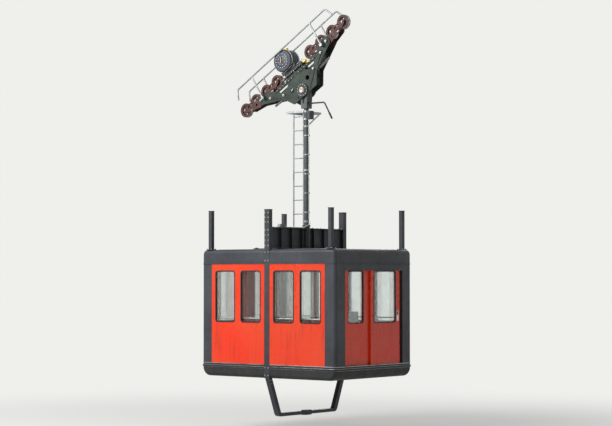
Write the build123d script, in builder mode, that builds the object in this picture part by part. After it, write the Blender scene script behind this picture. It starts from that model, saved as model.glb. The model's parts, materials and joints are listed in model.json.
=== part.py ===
from build123d import *
import os
from math import acos, cos, radians, sin

os.makedirs("parts", exist_ok=True)

# An aerial tramway car: a cabin that hangs from a carriage on an inclined track rope.
# Millimetres. The origin is on the rope's axis at the middle of the carriage, +X is uphill,
# +Z is up, and the side that faces the viewer is -Y. "Along" and "off" are distances along
# the rope and square to it, upwards.

# Track rope and wheels
rope_incline = 32.5
track_rope_radius = 24
wheel_tread_radius = 130
wheel_flange_radius = 150
wheel_half_width = 36
wheel_hub_radius = 46
wheel_hub_half_width = 40
wheel_web_half_width = 11
wheel_rim_depth = 30
wheel_hole_radius = 19
wheel_hole_count = 6
wheel_fillet = 6
groove_clearance = 1
groove_facets = 6
first_wheel_along = 530
wheel_pitch = 340
axle_radius = 20
running_clearance = 0.3

# Carriage plates, from the inside outwards
truck_plate_gap = 45
truck_plate = 12
rocker_plate_gap = 70
rocker_plate = 15
frame_plate_gap = 95
frame_plate = 20
axle_end = 9
truck_wheel_eye = 56
truck_pivot_eye = 44
truck_slot_length = 150
truck_slot_height = 52
truck_pivot_off = 60
truck_pin_radius = 18
truck_pin_end = 6
rocker_pivot_off = 40
rocker_pin_radius = 24
rocker_end_eye = 52
rocker_middle_eye = 100
rocker_hole_radius = 26
main_pin_off = -450
main_pin_radius = 45
frame_top_off = -30
frame_foot_half_length = 350
frame_foot_off = -570
frame_corner_radius = 34
frame_hole_radius = 50
frame_hole_along = 235
frame_hole_off = -300
frame_boss = 14
frame_pin_end = 8
frame_rib_width = 24
frame_rib = 12
spacer_radius = 28
spacer_along = 800
spacer_off = -80
socket_pin_radius = 22
socket_pin_along = 470
haul_rope_off = -240
haul_rope_radius = 11
socket_length = 380
socket_eye_radius = 46
socket_nose_radius = 24
socket_bore_depth = 100
socket_neck = 70
socket_step = 6
socket_lip = 60
socket_eye_half_width = 30
brake_half_length = 250
brake_channel_half_width = 34
brake_foot_off = -110
brake_top_off = 120
brake_roof = 55
brake_corner_radius = 24
cylinder_radius = 26
cylinder_length = 96
cylinder_side = 65
cylinder_off = 58
cylinder_cap = 16
drum_radius = 240
drum_half_length = 165
drum_end_radius = 45
drum_along = -100
drum_off = 380
cradle_half_length = 200
cradle_plate = 20
saddle_rise = 60
handrail_off = 570
handrail_half_length = 1500
handrail_radius = 17
handrail_side = 190
handrail_post_along = 930
handrail_foot_off = 15
handrail_drop = 200
handrail_run_out = 90
handrail_bend = 70
bracket_length = 70
bracket_height = 60

# Hanger
head_hub_radius = 95
head_half_thickness = 85
head_foot_z = -760
head_foot_half_width = 75
head_socket_depth = 160
head_slot_length = 180
head_slot_width = 70
head_web = 8
hanger_radius = 50
hanger_wall = 12
ladder_reach = 340
ladder_from_tube = 26
ladder_first_rung = 60
collar_from_end = 100
ladder_stile_radius = 15
ladder_rung_radius = 11
ladder_rung_pitch = 290
ladder_top_z = -860
collar_wall = 14
collar_height = 40
damper_radius = 140
damper_thickness = 32
damper_chamfer = 4
pin_flange = 16
pin_end = 20
platform_top_z = -800
platform_reach = 520
platform_near_y = 40
platform_far_y = 560
platform_edge = 40
platform_slat = 8
platform_slat_pitch = 34
clamp_wall = 8
strut_radius = 14
strut_drop = 330
lever_radius = 16
lever_z = -655
lever_reach = 420
lever_tail_reach = 190
lever_tail_drop = 330
lever_boss_radius = 34

# Cabin, from the top down
cabin_length = 3520
cabin_width = 2540
post_top_z = -2900
beam_top_z = -3250
roof_top_z = -3700
roof_band = 290
wall_height = 2040
skirt_height = 270
hoop_foot_z = -7090
cabin_corner_radius = 70
roof_end_radius = 100
roof_inner_radius = 30
roof_thickness = 80
skirt_end_radius = 180
deck_thickness = 60
floor_rib = 30
floor_edge = 200
floor_side_edge = 60
floor_cell_corner = 25
wall_thickness = 50
pillar_thickness = 65
pillar_along = 270
pillar_across = 310
leg_width = 140
leg_depth = 100
leg_wall = 10
leg_proud = 5
post_width = 90
post_wall = 8
post_cap = 10
post_foot_width = 150
post_foot = 12
post_from_end = 177
post_from_side = 85
corner_radius_small = 12

# Cross beam
flange_half_width = 65
flange_thickness = 16
web_thickness = 14
beam_foot_gap = 20
stiffener_from = 190
stiffener_pitch = 340
stiffener = 12
beam_end_plate = 16
sleeve_radius = 74
sleeve_rise = 40

# Guide hoop
hoop_foot_half_width = 950
hoop_member = 100
hoop_bar = 65
hoop_half_depth = 50
hoop_pad_half_width = 110
hoop_pad_drop = 18
hoop_top_inset = 10
hoop_taper = 20
hoop_outer_bend = 110
hoop_inner_bend = 50

# Windows
pane_width = 520
pane_height = 1040
pane_gap_share = 17 / 38  # of the wall that two panes leave, what lies between them
pane_top_below_roof_band = 150
pane_corner_radius = 55
pane_rebate = 14
pane_seat_depth = 20
glass_thickness = 8
glass_clearance = 2

# End doors
end_wall_thickness = 45
end_wall_lap = 40
end_pane_from_pillar = 180
end_pane_from_door = 190
doorway_head = 100
doorway_lap_middle = 50
doorway_lap_pillar = 35
door_from = -90
door_from_pillar = 75
door_thickness = 35
door_gap = 5
door_pane_from_middle = 105
door_pane_from_pillar = 130
door_floor_gap = 8
track_height = 140
track_plate = 12
track_lip = 11
hanger_neck = 12
hanger_head_width = 30
hanger_head_height = 18
hanger_head_length = 120
track_clearance = 0.5
rail_drop = 52
leaf_below_track = 14
stop_clearance = 2
hanger_from_edge = 120

# Hatches
hatch_size = 660
hatch_from_middle = 850
hatch_gap = 6
hatch_ledge = 25
roof_lid_thickness = 36
floor_lid_thickness = 24
knuckle_radius = 9
knuckle_length = 90
knuckle_spread = 420

# Inside
pole_radius = 19
pole_along = 620
pole_across = 560
pole_flange = 22
pole_flange_height = 8
rail_radius = 16
rail_height = 930
rail_from_wall = 42
rail_end_gap = 23.5
rail_stub_radius = 11
console_length = 330
console_width = 560
console_height = 960
console_slope = 180
console_rise = 120
console_shelf = 110
console_toe = 60
console_from_side = 40
console_edge_radius = 20
lamp_from_middle = 800
lamp_length = 110
lamp_width = 150
lamp_height = 70
lamp_chamfer = 10

# Worked-out sizes and places
slope = radians(rope_incline)
wheel_off = track_rope_radius + wheel_tread_radius
wheel_alongs = [first_wheel_along + wheel_pitch * i for i in range(4)]
truck_alongs = [sum(wheel_alongs[:2]) / 2, sum(wheel_alongs[2:]) / 2]
rocker_along = sum(truck_alongs) / 2
pin_x = -main_pin_off * sin(slope)
pin_z = main_pin_off * cos(slope)
half_length = cabin_length / 2
half_width = cabin_width / 2
roof_foot_z = roof_top_z - roof_band
ceiling_z = roof_top_z - roof_thickness
deck_z = roof_foot_z - wall_height
skirt_foot_z = deck_z - skirt_height
pane_z = roof_foot_z - pane_top_below_roof_band - pane_height / 2
wall_z = deck_z + wall_height / 2
leg_outer = half_width + leg_proud
leg_inner = leg_outer - leg_depth
leg_middle = (leg_inner + leg_outer) / 2
beam_foot_z = roof_top_z + beam_foot_gap
half_wall_length = half_length - pillar_along - leg_width / 2
half_wall_middle = (half_length - pillar_along + leg_width / 2) / 2
pane_gap = pane_gap_share * (half_wall_length - 2 * pane_width)
end_recess = half_length - pillar_thickness
end_recess_half_width = half_width - pillar_across
door_to = end_recess_half_width - door_from_pillar
doorway_from = door_from + doorway_lap_middle
doorway_to = door_to - doorway_lap_pillar
door_pane_width = door_to - door_from - door_pane_from_middle - door_pane_from_pillar
door_pane_across = door_from + door_pane_from_middle + door_pane_width / 2
end_pane_width = end_recess_half_width + door_from - end_pane_from_pillar - end_pane_from_door
end_pane_across = door_from - end_pane_from_door - end_pane_width / 2


def on_rope(along, off):
    """The point of the middle plane at this place along and off the rope."""
    return (along * cos(slope) - off * sin(slope), 0, along * sin(slope) + off * cos(slope))


def rope_side(y):
    """A plane at this Y: its X runs up the rope, its Y off it, and it faces the viewer."""
    return Plane(origin=(0, y, 0), x_dir=(cos(slope), 0, sin(slope)), z_dir=(0, -1, 0))


def rope_axis_plane(along, off):
    """A plane at a point of the middle plane: its X runs up the rope, its Y across it."""
    return Plane(
        origin=on_rope(along, off),
        x_dir=(cos(slope), 0, sin(slope)),
        z_dir=(-sin(slope), 0, cos(slope)),
    )


def level(z):
    """A level plane under the main pin."""
    return Plane(origin=(pin_x, 0, z))


def side(y, way):
    """A side plane of the cabin, y from its middle: way is -1 near and 1 far, facing out."""
    return Plane(origin=(pin_x, way * y, 0), x_dir=(-way, 0, 0), z_dir=(0, way, 0))


def end(x, way):
    """An end plane of the cabin, x from its middle: way is 1 uphill and -1 downhill."""
    return Plane(origin=(pin_x + way * x, 0, 0), x_dir=(0, way, 0), z_dir=(way, 0, 0))


def keep(builder, name):
    """Label a finished piece and write it."""
    builder.part.label = name
    export_step(builder.part, f"parts/{name}.step")


def make_wheel(name, along):
    """A grooved rope wheel with a bored hub and a holed web."""
    groove_radius = track_rope_radius + groove_clearance
    lip = wheel_flange_radius - wheel_tread_radius
    lip_angle = acos(1 - lip / groove_radius)
    lip_half_width = groove_radius * sin(lip_angle)
    groove_angles = [lip_angle - 2 * lip_angle * i / groove_facets for i in range(groove_facets + 1)]
    groove_middle = wheel_tread_radius + groove_radius
    rim_inner = wheel_tread_radius - wheel_rim_depth
    bore = axle_radius + running_clearance
    centre = on_rope(along, wheel_off)
    with BuildPart() as wheel:
        with BuildSketch(rope_axis_plane(along, wheel_off)):
            with BuildLine():
                Polyline(
                    (wheel_flange_radius, lip_half_width),
                    (wheel_flange_radius, wheel_half_width),
                    (rim_inner, wheel_half_width),
                    (rim_inner - wheel_fillet, wheel_web_half_width),
                    (wheel_hub_radius + wheel_fillet, wheel_web_half_width),
                    (wheel_hub_radius, wheel_hub_half_width),
                    (bore, wheel_hub_half_width),
                    (bore, 0),
                )
                mirror(about=Plane.XZ)
                Polyline(*[(groove_middle - groove_radius * cos(a), groove_radius * sin(a))
                           for a in groove_angles])
            make_face()
        revolve(axis=Axis(centre, (0, 1, 0)))
        with BuildSketch(rope_side(wheel_half_width)):
            with Locations((along, wheel_off)):
                with PolarLocations((rim_inner + wheel_hub_radius) / 2, wheel_hole_count):
                    Circle(wheel_hole_radius)
        extrude(amount=2 * wheel_half_width, mode=Mode.SUBTRACT)
    keep(wheel, name)


def make_truck(name, middle):
    """A two-wheel truck: two side plates joined by the axles, with holes for its pivot."""
    outer = truck_plate_gap + truck_plate
    half_pitch = wheel_pitch / 2
    with BuildPart() as truck:
        with BuildSketch(rope_side(outer)):
            with BuildLine():
                CenterArc((middle - half_pitch, wheel_off), truck_wheel_eye, 0, 360)
                CenterArc((middle + half_pitch, wheel_off), truck_wheel_eye, 0, 360)
                CenterArc((middle, truck_pivot_off), truck_pivot_eye, 0, 360)
            make_hull()
            with Locations((middle, truck_pivot_off)):
                Circle(truck_pin_radius + running_clearance, mode=Mode.SUBTRACT)
            with Locations((middle, wheel_off)):
                SlotOverall(truck_slot_length, truck_slot_height, mode=Mode.SUBTRACT)
        extrude(amount=truck_plate)
        mirror(about=Plane.XZ)
        with BuildSketch(rope_side(outer + axle_end)):
            with Locations((middle - half_pitch, wheel_off), (middle + half_pitch, wheel_off)):
                Circle(axle_radius)
        extrude(amount=2 * (outer + axle_end))
    keep(truck, name)


def make_rocker(name, way):
    """A rocking beam: an arched plate each side, with the pins that carry its two trucks."""
    outer = rocker_plate_gap + rocker_plate
    ends = [(way * along, truck_pivot_off) for along in truck_alongs]
    middle = (way * rocker_along, rocker_pivot_off)
    with BuildPart() as rocker:
        with BuildSketch(rope_side(outer)):
            with BuildLine():
                for centre in ends:
                    CenterArc(centre, rocker_end_eye, 0, 360)
                CenterArc(middle, rocker_middle_eye, 0, 360)
            make_hull()
            with Locations(middle):
                Circle(rocker_pin_radius + running_clearance, mode=Mode.SUBTRACT)
            with Locations(*[((middle[0] + x) / 2, (middle[1] + off) / 2) for x, off in ends]):
                Circle(rocker_hole_radius, mode=Mode.SUBTRACT)
        extrude(amount=rocker_plate)
        mirror(about=Plane.XZ)
        with BuildSketch(rope_side(outer + truck_pin_end)):
            with Locations(*ends):
                Circle(truck_pin_radius)
        extrude(amount=2 * (outer + truck_pin_end))
    keep(rocker, name)


for number, along in enumerate([-x for x in reversed(wheel_alongs)] + wheel_alongs, 1):
    make_wheel(f"wheel_{number}", along)
for number, along in enumerate([-x for x in reversed(truck_alongs)] + truck_alongs, 1):
    make_truck(f"truck_{number}", along)
make_rocker("rocker_downhill", -1)
make_rocker("rocker_uphill", 1)

# The main frame: an inverted triangle each side of the rope, with welded ribs, spacer tubes,
# the pins of the haul rope's sockets and a stub pin for each rocker
frame_outer = frame_plate_gap + frame_plate
frame_lugs = [(-rocker_along, rocker_pivot_off), (rocker_along, rocker_pivot_off)]
socket_pins = [(-socket_pin_along, haul_rope_off), (socket_pin_along, haul_rope_off)]
rib_radius = frame_rib_width / 2
rib_runs = [
    ((190, frame_foot_off + 60), (rocker_along / 2 - 30, haul_rope_off - 25)),
    ((rocker_along / 2 + 60, haul_rope_off + 5), (rocker_along - 190, rocker_pivot_off - 90)),
    ((main_pin_radius, frame_top_off - 35), (rocker_along - 420, frame_top_off - 35)),
]
with BuildPart() as main_frame:
    with BuildSketch(rope_side(frame_outer)) as plate_outline:
        with BuildLine():
            Polyline(
                (0, frame_top_off),
                (rocker_along - 400, frame_top_off),
                (rocker_along - 75, rocker_pivot_off + 85),
                (rocker_along + 60, rocker_pivot_off + 75),
                (rocker_along + 85, rocker_pivot_off - 70),
                (rocker_along / 2, haul_rope_off - 75),
                (frame_foot_half_length, frame_foot_off),
                (0, frame_foot_off),
            )
            mirror(about=Plane.YZ)
        make_face()
        fillet(plate_outline.vertices(), radius=frame_corner_radius)
        with Locations((0, main_pin_off)):
            Circle(main_pin_radius, mode=Mode.SUBTRACT)
        with Locations((-frame_hole_along, frame_hole_off), (frame_hole_along, frame_hole_off)):
            Circle(frame_hole_radius, mode=Mode.SUBTRACT)
    extrude(amount=frame_plate)
    with BuildSketch(rope_side(frame_outer)) as windows:
        with BuildLine():
            Polyline(
                (175, frame_top_off - 70),
                (690, frame_top_off - 70),
                (400, frame_top_off - 150),
                close=True,
            )
        make_face()
        fillet(windows.vertices(), radius=22)
        mirror(about=Plane.YZ)
    extrude(amount=frame_plate, mode=Mode.SUBTRACT)
    for start, finish in rib_runs:
        for way in (-1, 1):
            with BuildSketch(rope_side(frame_outer + frame_rib)):
                with BuildLine():
                    CenterArc((way * start[0], start[1]), rib_radius, 0, 360)
                    CenterArc((way * finish[0], finish[1]), rib_radius, 0, 360)
                make_hull()
            extrude(amount=frame_rib)
    with BuildSketch(rope_side(frame_outer + frame_boss)):
        with Locations(*frame_lugs):
            Circle(rocker_pin_radius + frame_boss)
        with Locations(*socket_pins):
            Circle(socket_pin_radius + frame_boss)
    extrude(amount=frame_boss)
    mirror(about=Plane.XZ)
    with BuildSketch(rope_side(frame_outer)):
        with Locations((-spacer_along, spacer_off), (spacer_along, spacer_off)):
            Circle(spacer_radius)
        with Locations(*socket_pins):
            Circle(socket_pin_radius)
    extrude(amount=2 * frame_outer)
    for way in (-1, 1):
        with BuildSketch(rope_side(-way * frame_outer)):
            with Locations(*frame_lugs):
                Circle(rocker_pin_radius)
        extrude(amount=-way * (frame_outer - rocker_plate_gap + frame_pin_end))
keep(main_frame, "carriage_main_frame")

with BuildPart() as main_pin:
    with BuildSketch(rope_side(frame_outer + damper_thickness)):
        with Locations((0, main_pin_off)):
            Circle(main_pin_radius)
    extrude(amount=2 * (frame_outer + damper_thickness))
    with BuildSketch(rope_side(frame_outer + damper_thickness + pin_end)):
        with Locations((0, main_pin_off)):
            Circle(main_pin_radius + pin_flange)
    extrude(amount=pin_end)
    mirror(about=Plane.XZ)
keep(main_pin, "main_pin")

# Swing damper: a flanged friction drum on the main pin, outside each plate
with BuildPart() as damper_discs:
    with BuildSketch(rope_side(frame_outer + damper_thickness)):
        with Locations((0, main_pin_off)):
            Circle(damper_radius)
            Circle(main_pin_radius, mode=Mode.SUBTRACT)
    extrude(amount=damper_thickness)
    rims = damper_discs.edges().filter_by(GeomType.CIRCLE).group_by(SortBy.RADIUS)[-1]
    chamfer(rims.sort_by(Axis.Y)[0], length=damper_chamfer)
    mirror(about=Plane.XZ)
keep(damper_discs, "damper_discs")

# Track rope brake: a housing that straddles the rope between the frame's plates
with BuildPart() as brake:
    with BuildSketch(Plane(origin=on_rope(-brake_half_length, 0), x_dir=(0, 1, 0),
                           z_dir=(cos(slope), 0, sin(slope)))) as brake_section:
        with Locations((0, (brake_foot_off + brake_top_off) / 2)):
            Rectangle(2 * frame_plate_gap, brake_top_off - brake_foot_off)
        fillet(brake_section.vertices().group_by(Axis.Y)[-1], radius=brake_corner_radius)
        with Locations((0, (brake_foot_off + brake_top_off - brake_roof) / 2)):
            Rectangle(
                2 * brake_channel_half_width,
                brake_top_off - brake_roof - brake_foot_off,
                mode=Mode.SUBTRACT,
            )
    extrude(amount=2 * brake_half_length)
keep(brake, "track_rope_brake")

# Brake cylinders: a stepped pair on each end face of the brake, one each side of the rope
with BuildPart() as cylinders:
    for way in (-1, 1):
        for y in (-cylinder_side, cylinder_side):
            foot = Plane(
                origin=on_rope(way * brake_half_length, cylinder_off),
                x_dir=(0, 1, 0),
                z_dir=(way * cos(slope), 0, way * sin(slope)),
            )
            with BuildSketch(foot):
                with Locations((y, 0)):
                    Circle(cylinder_radius)
            extrude(amount=cylinder_length)
            with BuildSketch(foot.offset(cylinder_length)):
                with Locations((y, 0)):
                    RegularPolygon(cylinder_radius - 4, 6)
            extrude(amount=cylinder_cap)
keep(cylinders, "brake_cylinders")

# Hydraulic drum, lying across the carriage, with dished ends, on a cradle with two saddles
with BuildPart() as drum:
    with BuildSketch(rope_side(drum_half_length)):
        with Locations((drum_along, drum_off)):
            Circle(drum_radius)
    extrude(amount=2 * drum_half_length)
    fillet(drum.edges().filter_by(GeomType.CIRCLE), radius=drum_end_radius)
keep(drum, "hydraulic_drum")

saddle_top_off = drum_off - drum_radius + saddle_rise
with BuildPart() as cradle:
    with BuildSketch(rope_side(frame_plate_gap)):
        with Locations((drum_along, (brake_top_off + saddle_top_off) / 2)):
            Rectangle(2 * cradle_half_length, saddle_top_off - brake_top_off)
        with Locations((drum_along, drum_off)):
            Circle(drum_radius + running_clearance, mode=Mode.SUBTRACT)
    extrude(amount=cradle_plate)
    mirror(about=Plane.XZ)
keep(cradle, "drum_cradle")


def make_socket(name, way):
    """A conical rope socket that grips a haul rope, with a fork eye on its pin."""
    eye = way * socket_pin_along
    nose = way * (socket_pin_along + socket_length)
    shoulder = way * (socket_pin_along + socket_neck)
    neck_radius = socket_eye_radius - socket_step
    with BuildPart() as socket:
        with BuildSketch(rope_side(0)):
            with BuildLine():
                Polyline(
                    (eye, haul_rope_off),
                    (shoulder, haul_rope_off),
                    (nose, haul_rope_off),
                    (nose, haul_rope_off + socket_nose_radius),
                    (nose - way * socket_lip, haul_rope_off + socket_nose_radius),
                    (shoulder, haul_rope_off + neck_radius),
                    (eye, haul_rope_off + neck_radius),
                    close=True,
                )
            make_face()
        revolve(axis=Axis(on_rope(0, haul_rope_off), (cos(slope), 0, sin(slope))))
        with BuildSketch(rope_side(socket_eye_half_width)):
            with Locations((eye, haul_rope_off)):
                Circle(socket_eye_radius)
        extrude(amount=2 * socket_eye_half_width)
        with BuildSketch(rope_side(socket_eye_radius)):
            with Locations((eye, haul_rope_off)):
                Circle(socket_pin_radius + running_clearance)
        extrude(amount=2 * socket_eye_radius, mode=Mode.SUBTRACT)
        with BuildSketch(Plane(origin=on_rope(nose, haul_rope_off), x_dir=(0, 1, 0),
                               z_dir=(way * cos(slope), 0, way * sin(slope)))):
            Circle(haul_rope_radius)
        extrude(amount=-socket_bore_depth, mode=Mode.SUBTRACT)
    keep(socket, name)


make_socket("haul_rope_socket_downhill", -1)
make_socket("haul_rope_socket_uphill", 1)

# Handrail: a bowed tube each side above the wheels, on posts that stand on frame brackets
with BuildPart() as handrail:
    with BuildLine(rope_side(handrail_side)) as rail_line:
        FilletPolyline(
            (-handrail_half_length, handrail_off - handrail_drop),
            (-handrail_half_length + handrail_run_out, handrail_off),
            (handrail_half_length - handrail_run_out, handrail_off),
            (handrail_half_length, handrail_off - handrail_drop),
            radius=handrail_bend,
        )
    with BuildSketch(Plane(origin=rail_line.line @ 0, z_dir=rail_line.line % 0)):
        Circle(handrail_radius)
    sweep()
    for along in (-handrail_post_along, handrail_post_along):
        with BuildSketch(rope_axis_plane(along, handrail_foot_off)):
            with Locations((0, handrail_side)):
                Circle(handrail_radius)
        extrude(amount=handrail_off - handrail_foot_off)
        with BuildSketch(rope_side(handrail_side + handrail_radius)):
            with Locations((along, handrail_foot_off)):
                RectangleRounded(bracket_length, bracket_height, corner_radius_small)
        extrude(amount=handrail_side + handrail_radius - frame_outer)
    mirror(about=Plane.XZ)
keep(handrail, "carriage_handrail")

# Hanger: a boss on the main pin that narrows to a socket, and the tube that it carries
with BuildPart() as head:
    with BuildSketch(side(head_half_thickness, -1)):
        with BuildLine():
            CenterArc((0, pin_z), head_hub_radius, 0, 360)
            Polyline((-head_foot_half_width, head_foot_z), (head_foot_half_width, head_foot_z))
        make_hull()
        with Locations((0, pin_z)):
            Circle(main_pin_radius + running_clearance, mode=Mode.SUBTRACT)
    extrude(amount=-2 * head_half_thickness)
    with BuildSketch(Plane(origin=(pin_x, 0, head_foot_z))):
        Circle(hanger_radius + running_clearance)
    extrude(amount=head_socket_depth, mode=Mode.SUBTRACT)
    for way in (-1, 1):
        with BuildSketch(side(head_half_thickness, way)):
            with Locations((0, (pin_z + head_foot_z) / 2)):
                SlotOverall(head_slot_length, head_slot_width, rotation=90)
        extrude(amount=-(head_half_thickness - hanger_radius - head_web), mode=Mode.SUBTRACT)
keep(head, "hanger_head")

with BuildPart() as hanger:
    with BuildSketch(level(head_foot_z + head_socket_depth)):
        Circle(hanger_radius)
        Circle(hanger_radius - hanger_wall, mode=Mode.SUBTRACT)
    extrude(amount=-(head_foot_z + head_socket_depth - beam_foot_z))
keep(hanger, "hanger_arm")

# Ladder beside the hanger: two stiles, rungs, and collars round the hanger's tube
inner_stile = hanger_radius + ladder_from_tube
rung_count = int((ladder_top_z - roof_top_z - ladder_first_rung) / ladder_rung_pitch)
ladder_foot_z = beam_top_z + ladder_first_rung
ladder_middle_z = (ladder_top_z + ladder_foot_z) / 2
collar_zs = (ladder_top_z - collar_from_end, ladder_middle_z, ladder_foot_z + collar_from_end)
with BuildPart() as ladder:
    with BuildSketch(level(ladder_top_z)):
        with Locations((-ladder_reach, 0)):
            Circle(ladder_stile_radius)
    extrude(amount=-(ladder_top_z - roof_top_z))
    with BuildSketch(level(ladder_top_z)):
        with Locations((-inner_stile, 0)):
            Circle(ladder_stile_radius)
    extrude(amount=-(ladder_top_z - ladder_foot_z))
    with BuildSketch(end(inner_stile, -1)):
        with Locations(*[(0, ladder_top_z - ladder_first_rung - ladder_rung_pitch * i)
                         for i in range(rung_count)]):
            Circle(ladder_rung_radius)
    extrude(amount=ladder_reach - inner_stile)
    for collar_z in collar_zs:
        with BuildSketch(level(collar_z)):
            Circle(hanger_radius + collar_wall)
            with Locations((-inner_stile / 2 - collar_wall, 0)):
                Rectangle(inner_stile, 2 * ladder_rung_radius)
            Circle(hanger_radius + running_clearance, mode=Mode.SUBTRACT)
        extrude(amount=-collar_height)
keep(ladder, "hanger_ladder")

# Service platform at the ladder's top, on the far side, where a climber steps over onto it: a
# frame of flat bars filled with slats, clamped to the hanger's tube and held by two struts
platform_from = hanger_radius
platform_length = platform_reach - platform_from
platform_centre = (-(platform_reach + platform_from) / 2, (platform_far_y - platform_near_y) / 2)
platform_width = platform_far_y + platform_near_y
slat_count = int(platform_length / platform_slat_pitch) - 1
slat_step = platform_length / (slat_count + 1)
with BuildPart() as platform:
    with BuildSketch(level(platform_top_z)):
        with Locations(platform_centre):
            Rectangle(platform_length, platform_width)
            Rectangle(
                platform_length - 2 * platform_slat,
                platform_width - 2 * platform_slat,
                mode=Mode.SUBTRACT,
            )
    extrude(amount=-platform_edge)
    with BuildSketch(level(platform_top_z)):
        with Locations(*[(-platform_from - slat_step * (i + 1), platform_centre[1])
                         for i in range(slat_count)]):
            Rectangle(platform_slat, platform_width)
        with Locations(platform_centre):
            Rectangle(platform_length, 2 * platform_slat)
    extrude(amount=-platform_edge / 2)
    for x in (platform_from + strut_radius, platform_reach - strut_radius):
        foot = Vector(pin_x, hanger_radius / 2, platform_top_z - strut_drop)
        top = Vector(pin_x - x, platform_far_y - strut_radius, platform_top_z - platform_edge / 2)
        with BuildSketch(Plane(origin=foot, z_dir=top - foot)):
            Circle(strut_radius)
        extrude(amount=(top - foot).length)
    for z in (platform_top_z, platform_top_z - strut_drop + collar_height / 2):
        with BuildSketch(level(z)):
            Circle(hanger_radius + clamp_wall)
        extrude(amount=-collar_height)
    with BuildSketch(level(platform_top_z)):
        Circle(hanger_radius + running_clearance)
    extrude(amount=-2 * strut_drop, mode=Mode.SUBTRACT)
keep(platform, "service_platform")

# Brake release lever: it reaches uphill from the hanger's head and bends down to its grip
lever_root = head_foot_half_width - lever_boss_radius / 2
with BuildPart() as lever:
    with BuildLine(side(0, -1)) as lever_line:
        FilletPolyline(
            (lever_root, lever_z),
            (lever_root + lever_reach, lever_z),
            (lever_root + lever_reach + lever_tail_reach, lever_z - lever_tail_drop),
            radius=4 * lever_radius,
        )
    with BuildSketch(Plane(origin=lever_line.line @ 0, z_dir=lever_line.line % 0)):
        Circle(lever_radius)
    sweep()
    with BuildSketch(side(lever_boss_radius, -1)):
        with Locations((lever_root + lever_boss_radius, lever_z)):
            Circle(lever_boss_radius)
    extrude(amount=-2 * lever_boss_radius)
    add(head.part, mode=Mode.SUBTRACT)
keep(lever, "brake_release_lever")

# Cross beam: a plate girder between the frame legs, with a sleeve for the hanger's tube
beam_depth = beam_top_z - beam_foot_z
stiffener_count = int((leg_inner - stiffener_from - beam_end_plate) / stiffener_pitch) + 1
with BuildPart() as beam:
    with BuildSketch(Plane(origin=(pin_x, -leg_inner, 0), x_dir=(-1, 0, 0), z_dir=(0, 1, 0))):
        with Locations((0, beam_top_z - flange_thickness / 2), (0, beam_foot_z + flange_thickness / 2)):
            Rectangle(2 * flange_half_width, flange_thickness)
        with Locations((0, (beam_top_z + beam_foot_z) / 2)):
            Rectangle(web_thickness, beam_top_z - beam_foot_z)
    extrude(amount=2 * leg_inner)
    with BuildSketch(level(beam_foot_z)):
        with Locations(*[(0, way * (stiffener_from + stiffener_pitch * i))
                         for i in range(stiffener_count) for way in (-1, 1)]):
            Rectangle(2 * flange_half_width - stiffener, stiffener)
        with Locations((0, beam_end_plate / 2 - leg_inner), (0, leg_inner - beam_end_plate / 2)):
            Rectangle(2 * flange_half_width, beam_end_plate)
    extrude(amount=beam_depth)
    with BuildSketch(level(beam_foot_z)):
        Circle(sleeve_radius)
    extrude(amount=beam_depth + sleeve_rise)
    with BuildSketch(level(beam_foot_z)):
        Circle(hanger_radius + running_clearance)
    extrude(amount=beam_depth + sleeve_rise, mode=Mode.SUBTRACT)
keep(beam, "roof_cross_beam")

# Frame legs: hollow pillars from the post tops down to the skirt's foot, closed at both ends
for name, way in (("frame_leg_near", -1), ("frame_leg_far", 1)):
    with BuildPart() as leg:
        with BuildSketch(level(skirt_foot_z)):
            with Locations((0, way * leg_middle)):
                RectangleRounded(leg_width, leg_depth, corner_radius_small)
        extrude(amount=post_top_z - skirt_foot_z)
        with BuildSketch(level(skirt_foot_z + leg_wall)):
            with Locations((0, way * leg_middle)):
                Rectangle(leg_width - 2 * leg_wall, leg_depth - 2 * leg_wall)
        extrude(amount=post_top_z - skirt_foot_z - 2 * leg_wall, mode=Mode.SUBTRACT)
    keep(leg, name)

# Guide hoop under the floor: it continues the legs and closes below the cabin
hoop_top_half_width = half_width - hoop_top_inset
with BuildPart() as hoop:
    with BuildSketch(end(-hoop_half_depth, 1)) as hoop_outline:
        with BuildLine():
            Polyline(
                (-hoop_top_half_width, skirt_foot_z),
                (-hoop_foot_half_width, hoop_foot_z),
                (hoop_foot_half_width, hoop_foot_z),
                (hoop_top_half_width, skirt_foot_z),
                close=True,
            )
        make_face()
        fillet(hoop_outline.vertices().group_by(Axis.Y)[0], radius=hoop_outer_bend)
    extrude(amount=2 * hoop_half_depth)
    with BuildSketch(end(-hoop_half_depth, 1)) as hoop_inside:
        with BuildLine():
            Polyline(
                (-hoop_top_half_width + hoop_member, skirt_foot_z),
                (-hoop_foot_half_width + hoop_member - hoop_taper, hoop_foot_z + hoop_bar),
                (hoop_foot_half_width - hoop_member + hoop_taper, hoop_foot_z + hoop_bar),
                (hoop_top_half_width - hoop_member, skirt_foot_z),
                close=True,
            )
        make_face()
        fillet(hoop_inside.vertices().group_by(Axis.Y)[0], radius=hoop_inner_bend)
    extrude(amount=2 * hoop_half_depth, mode=Mode.SUBTRACT)
    with BuildSketch(end(-hoop_half_depth, 1)):
        with Locations((0, hoop_foot_z + hoop_bar / 2)):
            RectangleRounded(2 * hoop_pad_half_width, hoop_bar + 2 * hoop_pad_drop, corner_radius_small)
    extrude(amount=2 * hoop_half_depth)
keep(hoop, "underfloor_guide_hoop")

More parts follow.
